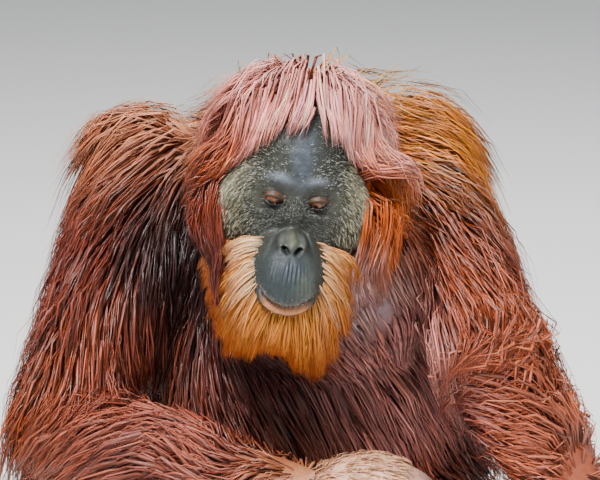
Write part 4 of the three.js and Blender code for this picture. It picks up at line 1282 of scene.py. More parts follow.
@dataclass
class LimbCoat:
    """Hair rooted on one tube and combed over the body, in clumps."""

    name: str
    part: str
    count: int
    length: float
    tile: int
    hang: float = 0.5
    span: tuple[float, float] = (0.0, 1.0)
    arc: tuple[float, float] = (0.0, 360.0)
    width: float = 2.0
    clump: float = 30.0
    gather: float = 0.42
    curl: float = 1.3
    rows: int = 5
    lively: float = 0.24

    def grow(self, flesh: Flesh, seed: int) -> Tufts:
        """Grows the tufts.

        Roots are spread evenly over the tube's skin where it is the body's outside. Every
        second tuft is broad and lies low, and the rest are finer and lie over it.
        """
        rng = np.random.default_rng(seed)
        tube, count = flesh.sheaths[self.part].tube, int(self.count * DENSITY)
        s = rng.uniform(*self.span, 3 * count)
        angle = np.radians(rng.uniform(*self.arc, 3 * count))
        girth = along(tube.wide, s) + along(tube.deep, s)
        even = rng.uniform(size=len(s)) < girth / girth.max()
        s, angle = s[even], angle[even]
        roots = tube.point(s, angle, np.zeros(len(s)))
        apart = flesh.distances(roots)
        others = np.min([gap for name, gap in apart.items() if name != self.part], axis=0)
        bald = 0.85 * nearness(roots, BARE_THROAT, 50, 4)
        clear = (others > -3) & (roots[:, 2] > 4) & (rng.uniform(size=len(s)) > bald)
        s, angle, roots = s[clear][:count], angle[clear][:count], roots[clear][:count]
        count = len(roots)
        keys = cells(roots, self.clump)
        luck = luck_of(keys, seed + 1)
        broad = np.arange(count) % 2 == 0
        chance = rng.uniform(size=count)
        layer = np.where(broad, 0.15 + 0.75 * chance, 0.4 + 0.65 * np.sqrt(chance))
        layer = np.clip(layer + 0.12 * luck[:, 0], 0.1, 1.08)
        length = self.length * rng.uniform(0.65, 1.15, count) * (1 + 0.15 * luck[:, 1])
        curl = self.curl * (luck[:, 2] + 0.4 * rng.normal(size=count))
        hang = self.hang * rng.uniform(0.8, 1.2, count)
        paths, outs = flesh.combed(roots, length, layer, self.rows, hang, curl)
        t = np.linspace(0, 1, self.rows)
        paths = gathered(paths, keys, self.gather * (t**1.4)[None, :, None])
        paths[..., 2] = np.maximum(paths[..., 2], LOWEST_HAIR)
        beyond = np.maximum(FARTHEST - paths[..., 0], 0)
        paths[..., 0] = paths[..., 0] + 0.75 * beyond
        width = widths_of(rng, count, 2.6 * self.width, self.width)
        colour = banded(paths, 2) * np.where(broad, 0.84, 1.08)[:, None]
        colours = shaded(colour, t, rng, self.lively, luck[:, 3])
        thick = width * np.where(broad, 0.14, 0.24)
        return Tufts(paths, outs, width, thick, colours, self.unwrap(s, angle))

    def unwrap(self, s: Array, angle: Array) -> Array:
        """The roots' places on the skin's unwrap: a tile for each tube, round it by along it."""
        column, row = self.tile % 4, self.tile // 4
        u = (column + 0.04 + 0.92 * (angle / TAU % 1.0)) / 4
        v = 0.25 * (row + 0.04 + 0.92 * np.clip(s, 0, 1)) * 0.98
        return np.stack([u, v], -1)


@dataclass
class NapeHair:
    """Long hair from the back and sides of the head, combed over the neck and shoulders."""

    count: int = 5200
    length: float = 130.0
    rows: int = 4

    def grow(self, flesh: Flesh, seed: int) -> Tufts:
        """Grows the tufts from the hairy skin behind the face."""
        rng = np.random.default_rng(seed)
        head, count = flesh.head, int(self.count * DENSITY)
        raw = unit(rng.normal(size=(8 * count, 3)))
        behind = head.hairiness(raw) * (1 - 0.7 * head.parting(raw))
        from_whorl, round_ = polar_of(WHORL, vec(0, -1, 0), raw)
        low = (from_whorl > 1.0) & (np.abs(round_) > math.radians(62))
        behind = behind * ((np.abs(round_) > math.radians(96)) | low) * (raw[:, 2] > -0.55)
        raw = raw[rng.uniform(size=len(raw)) < behind]
        roots = head.point(raw, np.zeros(len(raw)))
        apart = flesh.distances(roots)
        others = np.min([gap for name, gap in apart.items() if name != "head"], axis=0)
        raw, roots = raw[others > -3][:count], roots[others > -3][:count]
        count = len(roots)
        keys = cells(roots, 22)
        luck = luck_of(keys, seed + 1)
        layer = np.clip(0.2 + 0.85 * np.sqrt(rng.uniform(size=count)) + 0.1 * luck[:, 0], 0.1, 1.05)
        length = self.length * rng.uniform(0.65, 1.15, count)
        length = length * np.where(np.abs(polar_of(WHORL, vec(0, -1, 0), raw)[1]) < 1.7, 0.6, 1.0)
        curl = 4.0 * (luck[:, 2] + 0.4 * rng.normal(size=count))
        paths, outs = flesh.combed(roots, length, layer, self.rows, np.full(count, 0.8), curl)
        t = np.linspace(0, 1, self.rows)
        paths = gathered(paths, keys, 0.45 * (t**1.4)[None, :, None])
        width = 3.2 * rng.uniform(0.6, 1.3, count)
        colours = shaded(banded(paths, 2), t, rng, 0.2, luck[:, 3])
        return Tufts(paths, outs, width, width * 0.3, colours, head_unwrap(raw))


def head_unwrap(d: Array) -> Array:
    """The roots' places on the head's unwrap: the way round the nose by the angle from it."""
    off = np.arccos(np.clip(-d[..., 1], -1, 1)) / math.pi
    round_ = np.arctan2(d[..., 0], d[..., 2]) / TAU + 0.5
    return np.stack([0.01 + 0.98 * round_, 0.76 + 0.23 * off], -1)


@dataclass
class HeadHair:
    """The hair of the scalp, out from its whorl, with a parted fringe over the forehead."""

    head: Head
    count: int = 11500
    length: float = 105.0
    lanes: int = 70  # clumps round the whorl
    temples: tuple[float, float] = (86.0, 104.0)  # the fringe ends between, in degrees round it

    def edge(self, off: Array) -> Array:
        """How far from the whorl the hair may reach, in degrees: 44 + 49 (off / 88)^2.2."""
        return 44 + 49 * (np.abs(off) / 88) ** 2.2

    def grow(self, seed: int) -> Tufts:
        """Grows the tufts: each runs away from the whorl along the skull, and rises as it goes."""
        rng = np.random.default_rng(seed)
        head = self.head
        raw = unit(rng.normal(size=(int(self.count * DENSITY * 3.2), 3)))
        dense = head.hairiness(raw) * (1 - head.parting(raw))
        low = smooth(-0.75, -0.45, raw[:, 2])
        raw = raw[rng.uniform(size=len(raw)) < dense * low][: int(self.count * DENSITY)]
        count = len(raw)
        a0, r0 = polar_of(WHORL, vec(0, -1, 0), raw)
        off = np.degrees(r0) - PARTING
        off = (off + 180) % 360 - 180
        aside = np.abs(off)
        front = 1 - smooth(*self.temples, aside)
        most = np.radians(self.edge(np.minimum(aside, self.temples[1])) + rng.normal(0, 2.2, count))
        most = most * front + (a0 + 9) * (1 - front)
        longer = 1 + 0.3 * smooth(30, 60, off) * (off < 110)
        span = longer * self.length * rng.uniform(0.7, 1.15, count) / 150.0
        end = np.minimum(a0 + span, most)
        keep = end - a0 > 0.14
        a0, r0, end, off, aside = a0[keep], r0[keep], end[keep], off[keep], aside[keep]
        raw, front, count = raw[keep], front[keep], int(keep.sum())
        # Clumps are lanes round the whorl, and every second ring of them is set half a lane on
        ring = np.floor(a0 * 3)
        lane = np.floor(r0 / TAU * self.lanes + 0.5 * (ring % 2))
        luck = np.random.default_rng(seed + 1).uniform(-1, 1, (256, 4))
        luck = luck[(lane + 31 * ring).astype(int) % 256]
        rc = (lane + 0.5 - 0.5 * (ring % 2) + 0.3 * luck[:, 0]) / self.lanes * TAU
        t = np.linspace(0, 1, 5)[None, :]
        sweep = np.sign(off) * np.radians(8) * front
        r = r0[:, None] + (rc - r0)[:, None] * 0.6 * t**1.4 + sweep[:, None] * t**1.5
        r = r + 0.03 * np.sin(3.2 * t + 3 * luck[:, 3:4]) * t + 0.02 * rng.normal(size=(count, 1)) * t
        a = a0[:, None] + (end - a0)[:, None] * t
        d = polar(WHORL, vec(0, -1, 0), a, r)
        layer = (0.25 + 0.8 * np.sqrt(rng.uniform(size=count)))[:, None]
        winged = (smooth(30, 60, off) * (off < 110))[:, None]
        layer = layer + (1.05 - layer) * 0.6 * winged
        climb = 1 - (1 - t) ** 3.4
        depth = head.depth(d)
        wing = smooth(35, 75, off[:, None]) * (off[:, None] < 110)
        least = (5 + 8 * layer + 40 * wing * layer) * front[:, None]
        height = np.maximum(depth * layer, least) * climb - 2 * (t == 0)
        paths = head.point(d, height)
        out = unit(head.point(d, height + 4) - paths)
        width = widths_of(rng, count, 4.0, 1.8)
        colours = shaded(banded(paths, 3, 0.12), t[0], rng, 0.34, luck[:, 2])
        return Tufts(paths, out, width, width * 0.35, colours, head_unwrap(raw))


DEEP_ORANGE = (232, 116, 34)


@dataclass
class Beard:
    """The beard and whiskers: out from the sides of the muzzle and down, in two lobes."""

    head: Head
    count: int = 9600
    rows: int = 4
    fan: Array = field(default_factory=lambda: vec(0, -70, -52))  # whiskers point away from it

    def off_muzzle(self, x: Array, z: Array) -> Array:
        """How far places are from the muzzle's middle, 1 at its edge: an ellipse's radius."""
        return np.hypot(x / 40, (z + 74) / 46)

    def dense(self, d: Array) -> Array:
        """Where the beard grows: beside and below the muzzle and lips, from 0 to 1."""
        place = d * self.head.masses(d)[:, None] + HEAD_CENTRE
        x, z = np.abs(place[:, 0]), place[:, 2]
        outside = smooth(0.92, 1.1, self.off_muzzle(x, z)) * (z < -38)
        below = smooth(5.0, -3.0, z + 48 + 0.42 * (x - 28))
        _, off, within = self.head.mouth(d)
        along_lips, _, _ = self.head.passing(d, MOUTH)
        corner = smooth(49, 43, np.abs(along_lips)) * np.exp(-(((off + 3) / 7) ** 4)) * (d[:, 1] < 0)
        lips = np.maximum(within * smooth(-17.0, -14.5, off), corner)
        ahead = smooth(64.0, 44.0, place[:, 1])
        return outside * below * (1 - lips) * ahead

    def grow(self, seed: int) -> Tufts:
        """Grows the tufts.

        A tuft steps away from the fan's middle over the head, turns down as it goes, and is
        pushed out where it would come too near the skin.
        """
        rng = np.random.default_rng(seed)
        head = self.head
        raw = unit(rng.normal(size=(int(self.count * DENSITY * 9), 3)) + vec(0, -0.5, -0.8))
        raw = raw[rng.uniform(size=len(raw)) < self.dense(raw)][: int(self.count * DENSITY)]
        count = len(raw)
        root = HEAD_CENTRE + raw * head.radius(raw)[:, None]
        keys = cells(root, 11)
        luck = luck_of(keys, seed + 1)
        side = np.abs(root[:, 0])
        lobes = 0.3 + 0.7 * smooth(7, 30, np.abs(root[:, 0] + 5)) + 0.3 * smooth(8, 40, root[:, 0])
        low = smooth(-60, -130, root[:, 2])
        length = (50 + 42 * low * lobes) * rng.uniform(0.7, 1.12, count)
        right = smooth(22, 46, root[:, 0]) * smooth(-52, -78, root[:, 2])
        length = length * (1 + 0.12 * luck[:, 1] + 0.12 * right)
        step = length / (self.rows - 1)
        layer = 0.25 + 0.75 * np.sqrt(rng.uniform(size=count))
        depth = (15 + 14 * low + 9 * smooth(30, 60, root[:, 0]) + 5 * smooth(40, 70, side)) * layer
        flat = unit((root - self.fan) * vec(1, 0, 1))
        place, paths, outs = root, [root - raw * 1.5], [raw]
        for k in range(1, self.rows):
            t = k / (self.rows - 1)
            offset = place - HEAD_CENTRE
            d = unit(offset)
            way = flat + vec(0, -0.1, -1.0) * (0.9 * t)
            way = unit(way - d * (dot(way, d) * (1 - 0.6 * t))[:, None])
            sway = (0.16 * luck[:, 2] + 0.1 * rng.normal(size=count))[:, None]
            place = place + (way + np.cross(d, way) * sway) * step[:, None]
            offset = place - HEAD_CENTRE
            d = unit(offset)
            lack = head.masses(d) + depth * (1 - (1 - t) ** 2.4) - np.linalg.norm(offset, axis=1)
            place = place + d * np.maximum(lack, 0)[:, None]
            paths.append(place)
            outs.append(d)
        t = np.linspace(0, 1, self.rows)
        paths = gathered(np.stack(paths, 1), keys, 0.5 * (t**1.4)[None, :, None])
        colours = shaded(self.colour(root), t, rng, 0.16, luck[:, 3])
        golden = (0.6 * t**1.1)[None, :, None]
        colours = colours * (1 - golden) + linear(DEEP_ORANGE) * golden
        colours = colours * np.linspace(1.2, 0.95, self.rows)[None, :, None]
        width = widths_of(rng, count, 2.6, 1.3)
        outs = np.stack(outs, 1) @ HEAD_TURN.T
        return Tufts(head.to_world(paths), outs, width, width * 0.3, colours, head_unwrap(raw))

    def colour(self, root: Array) -> Array:
        """The beard's colours: cream by the muzzle, golden by the lip, deep orange outside."""
        x, z = np.abs(root[:, 0]), root[:, 2]
        edge = self.off_muzzle(x, z)
        colour = np.broadcast_to(linear((222, 98, 20)), root.shape).copy()
        colour = blend(colour, (255, 168, 62), smooth(1.7, 1.15, edge) * 0.85)
        colour = blend(colour, (252, 176, 100), smooth(-100, -66, z) * 0.6)
        patchy = (0.55 + 0.45 * MOTTLE(root)) * (1 - 0.45 * (root[:, 0] > 0))
        cream = smooth(1.22, 1.0, edge) * smooth(-128, -100, z) * patchy
        return blend(colour, (255, 232, 196), cream)


GREY_DOWN, CREAM_DOWN = (184, 186, 174), (240, 230, 190)


@dataclass
class FaceDown:
    """The short pale down of the face, and stubble by the lips."""

    head: Head
    count: int = 15500

    def dense(self, d: Array) -> Array:
        """Where the down grows, from 0 to 1: not round the eyes, on the nose or the muzzle."""
        head = self.head
        place = d * head.masses(d)[:, None] + HEAD_CENTRE
        x, z = np.abs(place[:, 0]), place[:, 2]
        bare = smooth(1.3, 0.95, np.hypot(x / 36, (z + 76) / 44))
        nose = smooth(1.2, 0.7, np.hypot(x / 18, (z + 40) / 18))
        grow = (1 - bare) * (1 - nose) * (0.5 + 0.5 * np.maximum(smooth(30, 62, x), smooth(6, 30, z)))
        for mirror in (-1, 1):
            ex, ez, near = head.passing(d, head.eye_place(mirror, 11))
            grow = grow * (1 - near * np.exp(-((ex / 17) ** 4) - (ez / 11) ** 4))
        _, off, within = head.mouth(d)
        stubble = within * np.exp(-(((off - 9) / 7) ** 2)) * 0.8
        return np.maximum(grow * (d[:, 1] < 0.1) * (1 - head.hairiness(d)), stubble)

    def grow(self, seed: int) -> Tufts:
        """Grows short tufts that lie away from the nose and turn down at the cheeks."""
        rng = np.random.default_rng(seed)
        head = self.head
        raw = unit(rng.normal(size=(int(self.count * DENSITY * 5), 3)) + vec(0, -0.8, 0.5))
        raw = raw[rng.uniform(size=len(raw)) < self.dense(raw)][: int(self.count * DENSITY)]
        count = len(raw)
        root = HEAD_CENTRE + raw * head.radius(raw, True)[:, None]
        side = smooth(34, 76, np.abs(root[:, 0]))
        rim = smooth(72, 84, np.abs(root[:, 0]))
        length = (3.8 + 6.5 * side + 6.0 * rim) * rng.uniform(0.7, 1.3, count)
        flat = unit((root - vec(0, 0, -20)) * vec(1, 0, 1)) + vec(0, 0, -1.3) * side[:, None]
        flat = flat + 0.25 * rng.normal(size=(count, 3))
        way = unit(flat - raw * dot(flat, raw)[:, None])
        t = vec(0, 0.5, 1)[None, :, None]
        lift = (0.9 + 1.2 * side)[:, None, None] * (t - 0.5 * t * t) * 2 - 0.6 * (t == 0)
        paths = root[:, None] + way[:, None] * length[:, None, None] * t + raw[:, None] * lift
        width = (0.8 + 0.35 * side) * rng.uniform(0.7, 1.3, count)
        high = np.maximum(side, smooth(0, 25, root[:, 2]))
        pale = np.where(rng.uniform(size=count) < 0.45 + 0.2 * rim, 0.44 + 0.56 * high, 0.0)
        pale = (pale * rng.uniform(0.4, 1.0, count))[:, None]
        tint = linear(GREY_DOWN) * (1 - side[:, None]) + linear(CREAM_DOWN) * side[:, None]
        colour = face_colour(head, raw) * (1 - pale) + tint * pale
        colours = shaded(colour, t[0, :, 0], rng, 0.34, np.zeros(count))
        outs = np.repeat(raw[:, None], 3, axis=1) @ HEAD_TURN.T
        return Tufts(head.to_world(paths), outs, width, width * 0.35, colours, head_unwrap(raw))


# Finishes


class Nodes:
    """A small writer of a material's node tree."""

    def __init__(self, name: str) -> None:
        """Makes an empty material with one surface shader."""
        self.material = bpy.data.materials.new(name)
        self.material.use_nodes = True
        self.tree = self.material.node_tree
        self.shader = self.tree.nodes["Principled BSDF"]

    def add(self, kind: str, **settings: object) -> bpy.types.Node:
        """Adds a node, and sets its properties or unlinked inputs by name."""
        node = self.tree.nodes.new(kind)
        for key, value in settings.items():
            if key in node.inputs:
                node.inputs[key].default_value = value
            else:
                setattr(node, key, value)
        return node

    def link(self, source: bpy.types.NodeSocket, target: bpy.types.NodeSocket) -> None:
        """Links two sockets."""
        self.tree.links.new(source, target)

    def noise(self, scale: float, detail: float = 4.0, rough: float = 0.55) -> bpy.types.NodeSocket:
        """Noise over the object's own coordinates, from 0 to 1."""
        place = self.add("ShaderNodeTexCoord").outputs["Object"]
        node = self.add("ShaderNodeTexNoise", Scale=scale, Detail=detail, Roughness=rough)
        self.link(place, node.inputs["Vector"])
        return node.outputs["Fac"]

    def range(self, value: bpy.types.NodeSocket, low: float, high: float) -> bpy.types.NodeSocket:
        """A value from 0.3-0.7, spread over another range."""
        node = self.add("ShaderNodeMapRange")
        for key, number in (("From Min", 0.3), ("From Max", 0.7), ("To Min", low), ("To Max", high)):
            node.inputs[key].default_value = number
        self.link(value, node.inputs["Value"])
        return node.outputs["Result"]

    def tinted(self, attribute: str, value: bpy.types.NodeSocket) -> bpy.types.NodeSocket:
        """An attribute's colour, scaled by a value."""
        colour = self.add("ShaderNodeVertexColor", layer_name=attribute).outputs["Color"]
        node = self.add("ShaderNodeVectorMath", operation="SCALE")
        self.link(colour, node.inputs[0])
        self.link(value, node.inputs["Scale"])
        return node.outputs["Vector"]

    def bump(self, heights: list[tuple[bpy.types.NodeSocket, float, float]]) -> None:
        """Bumps of the surface: height, strength and depth of each, one over the other."""
        normal = None
        for height, strength, depth in heights:
            node = self.add("ShaderNodeBump", Strength=strength, Distance=depth)
            self.link(height, node.inputs["Height"])
            if normal:
                self.link(normal, node.inputs["Normal"])
            normal = node.outputs["Normal"]
        self.link(normal, self.shader.inputs["Normal"])


@dataclass(frozen=True)
class HairFinish:
    """Hair: the coat's own colours, a little gloss, and streaks along it."""

    name: str
    roughness: float = 0.37
    specular: float = 0.72

    def material(self) -> bpy.types.Material:
        """Makes the material."""
        nodes = Nodes(self.name)
        place = nodes.add("ShaderNodeAttribute", attribute_name="Strand").outputs["Vector"]
        stretched = nodes.add("ShaderNodeVectorMath", operation="MULTIPLY")
        nodes.link(place, stretched.inputs[0])
        stretched.inputs[1].default_value = (0.9, 0.8, 1.0)
        streak = nodes.add("ShaderNodeTexNoise", Scale=1.0, Detail=2.0, Roughness=0.6)
        nodes.link(stretched.outputs["Vector"], streak.inputs["Vector"])
        tint = nodes.tinted("Coat", nodes.range(streak.outputs["Fac"], 0.55, 1.4))
        nodes.link(tint, nodes.shader.inputs["Base Color"])
        nodes.bump([(streak.outputs["Fac"], 0.9, 0.002)])
        nodes.shader.inputs["Roughness"].default_value = self.roughness
        nodes.shader.inputs["Specular IOR Level"].default_value = self.specular
        return nodes.material


@dataclass(frozen=True)
class SkinFinish:
    """Bare skin: leathery, finely creased and pored, with a dull sheen."""

    name: str = "leathery_skin"

    def material(self) -> bpy.types.Material:
        """Makes the material."""
        nodes = Nodes(self.name)
        tint = nodes.tinted("Skin", nodes.range(nodes.noise(160.0, 6.0), 0.82, 1.2))
        nodes.link(tint, nodes.shader.inputs["Base Color"])
        nodes.link(nodes.range(nodes.noise(90.0, 4.0), 0.38, 0.6), nodes.shader.inputs["Roughness"])
        nodes.shader.inputs["Specular IOR Level"].default_value = 0.45
        place = nodes.add("ShaderNodeTexCoord").outputs["Object"]
        pores = nodes.add("ShaderNodeTexVoronoi", Scale=620.0)
        nodes.link(place, pores.inputs["Vector"])
        creases = nodes.noise(260.0, 6.0, 0.65)
        nodes.bump([(pores.outputs["Distance"], 0.35, 0.0008), (creases, 0.5, 0.0012)])
        return nodes.material


@dataclass(frozen=True)
class EyeFinish:
    """A wet, dark brown eye."""

    name: str = "wet_eye"

    def material(self) -> bpy.types.Material:
        """Makes the material."""
        nodes = Nodes(self.name)
        tint = nodes.tinted("Eye", nodes.range(nodes.noise(900.0, 3.0), 0.85, 1.15))
        nodes.link(tint, nodes.shader.inputs["Base Color"])
        nodes.shader.inputs["Roughness"].default_value = 0.22
        nodes.shader.inputs["Specular IOR Level"].default_value = 0.3
        nodes.shader.inputs["Coat Weight"].default_value = 0.5
        nodes.shader.inputs["Coat Roughness"].default_value = 0.04
        return nodes.material


@dataclass(frozen=True)
class NailFinish:
    """A dark, ridged nail with a soft gloss."""

    name: str = "dark_nail"

    def material(self) -> bpy.types.Material:
        """Makes the material."""
        nodes = Nodes(self.name)
        tint = nodes.tinted("Nail", nodes.range(nodes.noise(400.0, 4.0), 0.75, 1.25))
        nodes.link(tint, nodes.shader.inputs["Base Color"])
        nodes.shader.inputs["Roughness"].default_value = 0.34
        nodes.bump([(nodes.noise(500.0, 2.0), 0.25, 0.0004)])
        return nodes.material


@dataclass(frozen=True)
class FloorFinish:
    """A plain pale floor."""

    name: str = "pale_floor"

    def material(self) -> bpy.types.Material:
        """Makes the material."""
        nodes = Nodes(self.name)
        nodes.shader.inputs["Base Color"].default_value = (0.78, 0.78, 0.76, 1.0)
        nodes.shader.inputs["Roughness"].default_value = 0.85
        return nodes.material


# The pieces


@dataclass
class Body:
    """Every tube of flesh, by the name of the frame's node that it stands for."""

    head: Head = field(default_factory=Head)
    limbs: dict[str, Tube] = field(default_factory=dict)
    ends: list[Extremity] = field(default_factory=extremities)

    def __post_init__(self) -> None:
        """Lays out the trunk, neck and limbs."""
        self.limbs = core()
        for side in (RIGHT, LEFT):
            self.limbs |= {f"{name}_{side}": limb.tube(side) for name, limb in limbs(side).items()}


def applied(obj: Object) -> None:
    """Applies an object's modifiers, and keeps the result as its mesh."""
    graph = bpy.context.evaluated_depsgraph_get()
    mesh = bpy.data.meshes.new_from_object(obj.evaluated_get(graph))
    obj.modifiers.clear()
    obj.data = mesh


class Way(Enum):
    """What is made of two closed meshes."""

    UNION = "UNION"
    DIFFERENCE = "DIFFERENCE"


def combined(target: Object, others: list[Object], way: Way = Way.UNION) -> None:
    """Joins closed objects to the first or takes them from it, and removes them."""
    group = bpy.data.collections.new("operands")
    for other in others:
        group.objects.link(other)
    modifier = target.modifiers.new("combine", "BOOLEAN")
    modifier.operation = way.value
    modifier.operand_type = "COLLECTION"
    modifier.collection = group
    modifier.solver = "MANIFOLD"
    applied(target)
    for other in others:
        bpy.data.objects.remove(other)
    bpy.data.collections.remove(group)


def slab(half: float, depth: float) -> tuple[Array, Array]:
    """A flat block whose top lies at the floor's level."""
    x, y = vec(-1, 1, 1, -1) * half, vec(-1, -1, 1, 1) * half
    low, high = np.full(4, -depth), np.zeros(4)
    points = np.concatenate([np.stack([x, y, low], 1), np.stack([x, y, high], 1)])
    faces = [(3, 2, 1, 0), (4, 5, 6, 7)] + [(i, (i + 1) % 4, (i + 1) % 4 + 4, i + 4) for i in range(4)]
    return points, np.array(faces)


KNUCKLES = vec(80, -365, 320)  # back of the right hand
PALE_BACK, GREY_THROAT, BARE_SKIN = (250, 188, 158), (150, 132, 138), (84, 72, 70)


@dataclass
class Skin:
    """The one skin of the whole animal."""

    body: Body

    def part(self, name: str, points: Array, faces: Array, material: bpy.types.Material) -> Object:
        """One closed part of the skin, as an object."""
        return new_object(name, mesh_of(name, points, faces), material)

    def ear(self, mirror: int) -> tuple[Array, Array]:
        """A cupped ear: a flattened ball whose outer face is pressed in, with a rolled rim."""
        sides, rings = 36, 20
        theta = np.linspace(0.12, math.pi - 0.12, rings)[:, None]
        phi = np.arange(sides)[None, :] * TAU / sides
        x = np.sin(theta) * np.cos(phi) * mirror
        y, z = np.sin(theta) * np.sin(phi), np.cos(theta) + 0 * phi
        facing = np.clip(x * mirror, 0, 1)
        cup = smooth(0.45, 0.95, facing)
        local = np.stack([x * (9 - 12 * cup), y * 15, z * 23], -1)
        poles = np.array([(0, 0, 23.0), (0, 0, -23.0)])
        points = np.concatenate([local.reshape(-1, 3), poles])
        points = points @ turn(vec(0, 0, 1), math.radians(-25 * mirror)).T
        centre = EAR * vec(mirror, 1, 1)
        points = self.body.head.to_world(points + centre)
        return points, facing_out(points, ring_faces(rings, sides))

    def extremity(self, end: Extremity, material: bpy.types.Material) -> Object:
        """A hand or foot: its tubes fused by a fine remesh and smoothed."""
        parts = [self.part(end.name, *tube.grid(28, 16), material) for tube in end.tubes]
        combined(parts[0], parts[1:])
        whole = parts[0]
        remesh = whole.modifiers.new("fuse", "REMESH")
        remesh.mode = "VOXEL"
        remesh.voxel_size = 2.6 * MM
        smoother = whole.modifiers.new("smooth", "SMOOTH")
        smoother.factor, smoother.iterations = 0.5, 5
        applied(whole)
        return whole

    def build(self) -> Object:
        """Joins the head, ears, trunk, limbs, hands and feet, and paints them."""
        material = SkinFinish().material()
        skin = self.part("skin", *self.body.head.grid(), material)
        others = [self.part("ear", *self.ear(mirror), material) for mirror in (-1, 1)]
        for name, tube in self.body.limbs.items():
            others.append(self.part(name, *tube.grid(40, 26), material))
        others += [self.extremity(end, material) for end in self.body.ends]
        combined(skin, others)
        combined(skin, [self.part("under_floor", *slab(900, 300), material)], Way.DIFFERENCE)
        skin.data.name = "skin"
        points = points_of(skin.data)
        paint(skin.data, "Skin", self.colours(points))
        flags = np.ones(len(skin.data.polygons), bool)
        skin.data.polygons.foreach_set("use_smooth", flags)
        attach(skin, "root")
        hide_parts(*self.nodes())
        return skin

    def nodes(self) -> list[str]:
        """The frame's nodes of flesh, which the skin stands for."""
        names = ["head", "jaw", "ear_right", "ear_left"] + [end.name for end in self.body.ends]
        return names + [name for name in self.body.limbs if name != "pouch"]

    def colours(self, points: Array) -> Array:
        """The skin's colours: the face's own, bare grey hands and feet, and painted shade under the
        coat.
        """
        head = self.body.head
        # painted shade: under the coat the skin takes the coat's colour, darkened
        under = coat_colour_with_painted_light(points) * 0.5 + linear((40, 30, 30)) * 0.3
        local = head.to_local(points) - HEAD_CENTRE
        on_head = head.holds(points, 16.0)
        colours = np.where(on_head[:, None], face_colour(head, unit(local)), under)
        bare = linear(BARE_SKIN) * (0.9 + 0.25 * MOTTLE(points))[:, None]
        bare = blend(bare, PALE_BACK, 0.85 * nearness(points, KNUCKLES, 75, 4))
        for end in self.body.ends:
            inside = np.zeros(len(points), bool)
            for tube in end.tubes:
                inside |= tube.holds(points, 3.0)
            colours = np.where(inside[:, None], bare, colours)
        return blend(colours, GREY_THROAT, 0.7 * nearness(points, BARE_THROAT, 52, 4))


@dataclass
class Eyes:
    """The two eyes: dark balls with a brown iris, turned down and to its right."""

    head: Head
    gaze: Array = field(default_factory=lambda: unit(vec(-0.32, -1.0, -0.42)))

    def build(self) -> list[Object]:
        """Makes both eyes, each closed and painted by the angle from its gaze."""
        material = EyeFinish().material()
        made = []
        for mirror, side in ((-1, RIGHT), (1, LEFT)):
            theta = np.linspace(0.06, math.pi - 0.06, 26)[:, None]
            phi = np.arange(40)[None, :] * TAU / 40
            z = np.cos(theta) + 0 * phi
            ball = np.stack([np.sin(theta) * np.cos(phi), np.sin(theta) * np.sin(phi), z], -1)
            ball = np.concatenate([ball.reshape(-1, 3), [(0, 0, 1), (0, 0, -1)]])
            angle = np.arccos(np.clip(ball @ self.gaze, -1, 1))
            bulge = 1 + 0.05 * (1 - smooth(0.35, 0.62, angle))
            local = ball * (EYE_RADIUS * bulge)[:, None] + self.head.eye_place(mirror)
            points = self.head.to_world(local)
            name = f"eyeball_{side}"
            mesh = mesh_of(name, points, facing_out(points, ring_faces(26, 40)))
            colour = np.broadcast_to(linear((58, 36, 28)), points.shape).copy()
            colour = blend(colour, (20, 11, 8), smooth(0.76, 0.68, angle))
            colour = blend(colour, (132, 70, 34), smooth(0.62, 0.54, angle))
            colour = blend(colour, (70, 34, 16), smooth(0.44, 0.34, angle) * 0.6)
            colour = blend(colour, (5, 4, 4), smooth(0.30, 0.26, angle))
            paint(mesh, "Eye", colour)
            eye = new_object(name, mesh, material)
            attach(eye, "root")
            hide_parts(f"eye_{side}")
            made.append(eye)
        return made


@dataclass
class Nails:
    """The nails of a hand or foot: small curved plates, thicker at the free edge."""

    end: Extremity
    half: tuple[float, float, float] = (6.4, 8.4, 1.7)

    def build(self, material: bpy.types.Material) -> Object:
        """Makes the five nails as one piece."""
        theta = np.linspace(0.1, math.pi - 0.1, 14)[:, None]
        phi = np.arange(20)[None, :] * TAU / 20
        around = [np.sin(theta) * np.cos(phi), np.sin(theta) * np.sin(phi), np.cos(theta) + 0 * phi]
        ball = np.stack(around, -1)
        ball = np.concatenate([ball.reshape(-1, 3), [(0, 0, 1), (0, 0, -1)]])
        flat = np.sign(ball) * np.abs(ball) ** vec(0.8, 0.8, 1.0)
        x, y, z = (flat * np.array(self.half)).T
        z = z - 0.018 * x * x + 0.02 * np.maximum(y, 0)
        faces = ring_faces(14, 20)
        points, every = [], []
        for k, (centre, across, way, out) in enumerate(self.end.nails):
            plate = centre + x[:, None] * across + y[:, None] * way + z[:, None] * out
            plate[:, 2] = np.maximum(plate[:, 2], 0.2)
            points.append(plate)
            every.append(facing_out(plate, faces) + k * len(x))
        points = np.concatenate(points)
        mesh = mesh_of(f"nails_{self.end.name}", points, np.concatenate(every))
        paint(mesh, "Nail", linear((52, 44, 42)) * (1 + 0.25 * MOTTLE(points))[:, None])
        nails = new_object(f"nails_{self.end.name}", mesh, material)
        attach(nails, "root")
        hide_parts(*(f"nail_{self.end.name}_{k + 1}" for k in range(len(self.end.nails))))
        return nails


LIES = {"torso": -1.0, "neck": -1.0, "pouch": -1.0, "upper_arm": 1.0, "forearm": -1.0}
TRIANGLES_A_PIECE = 190_000


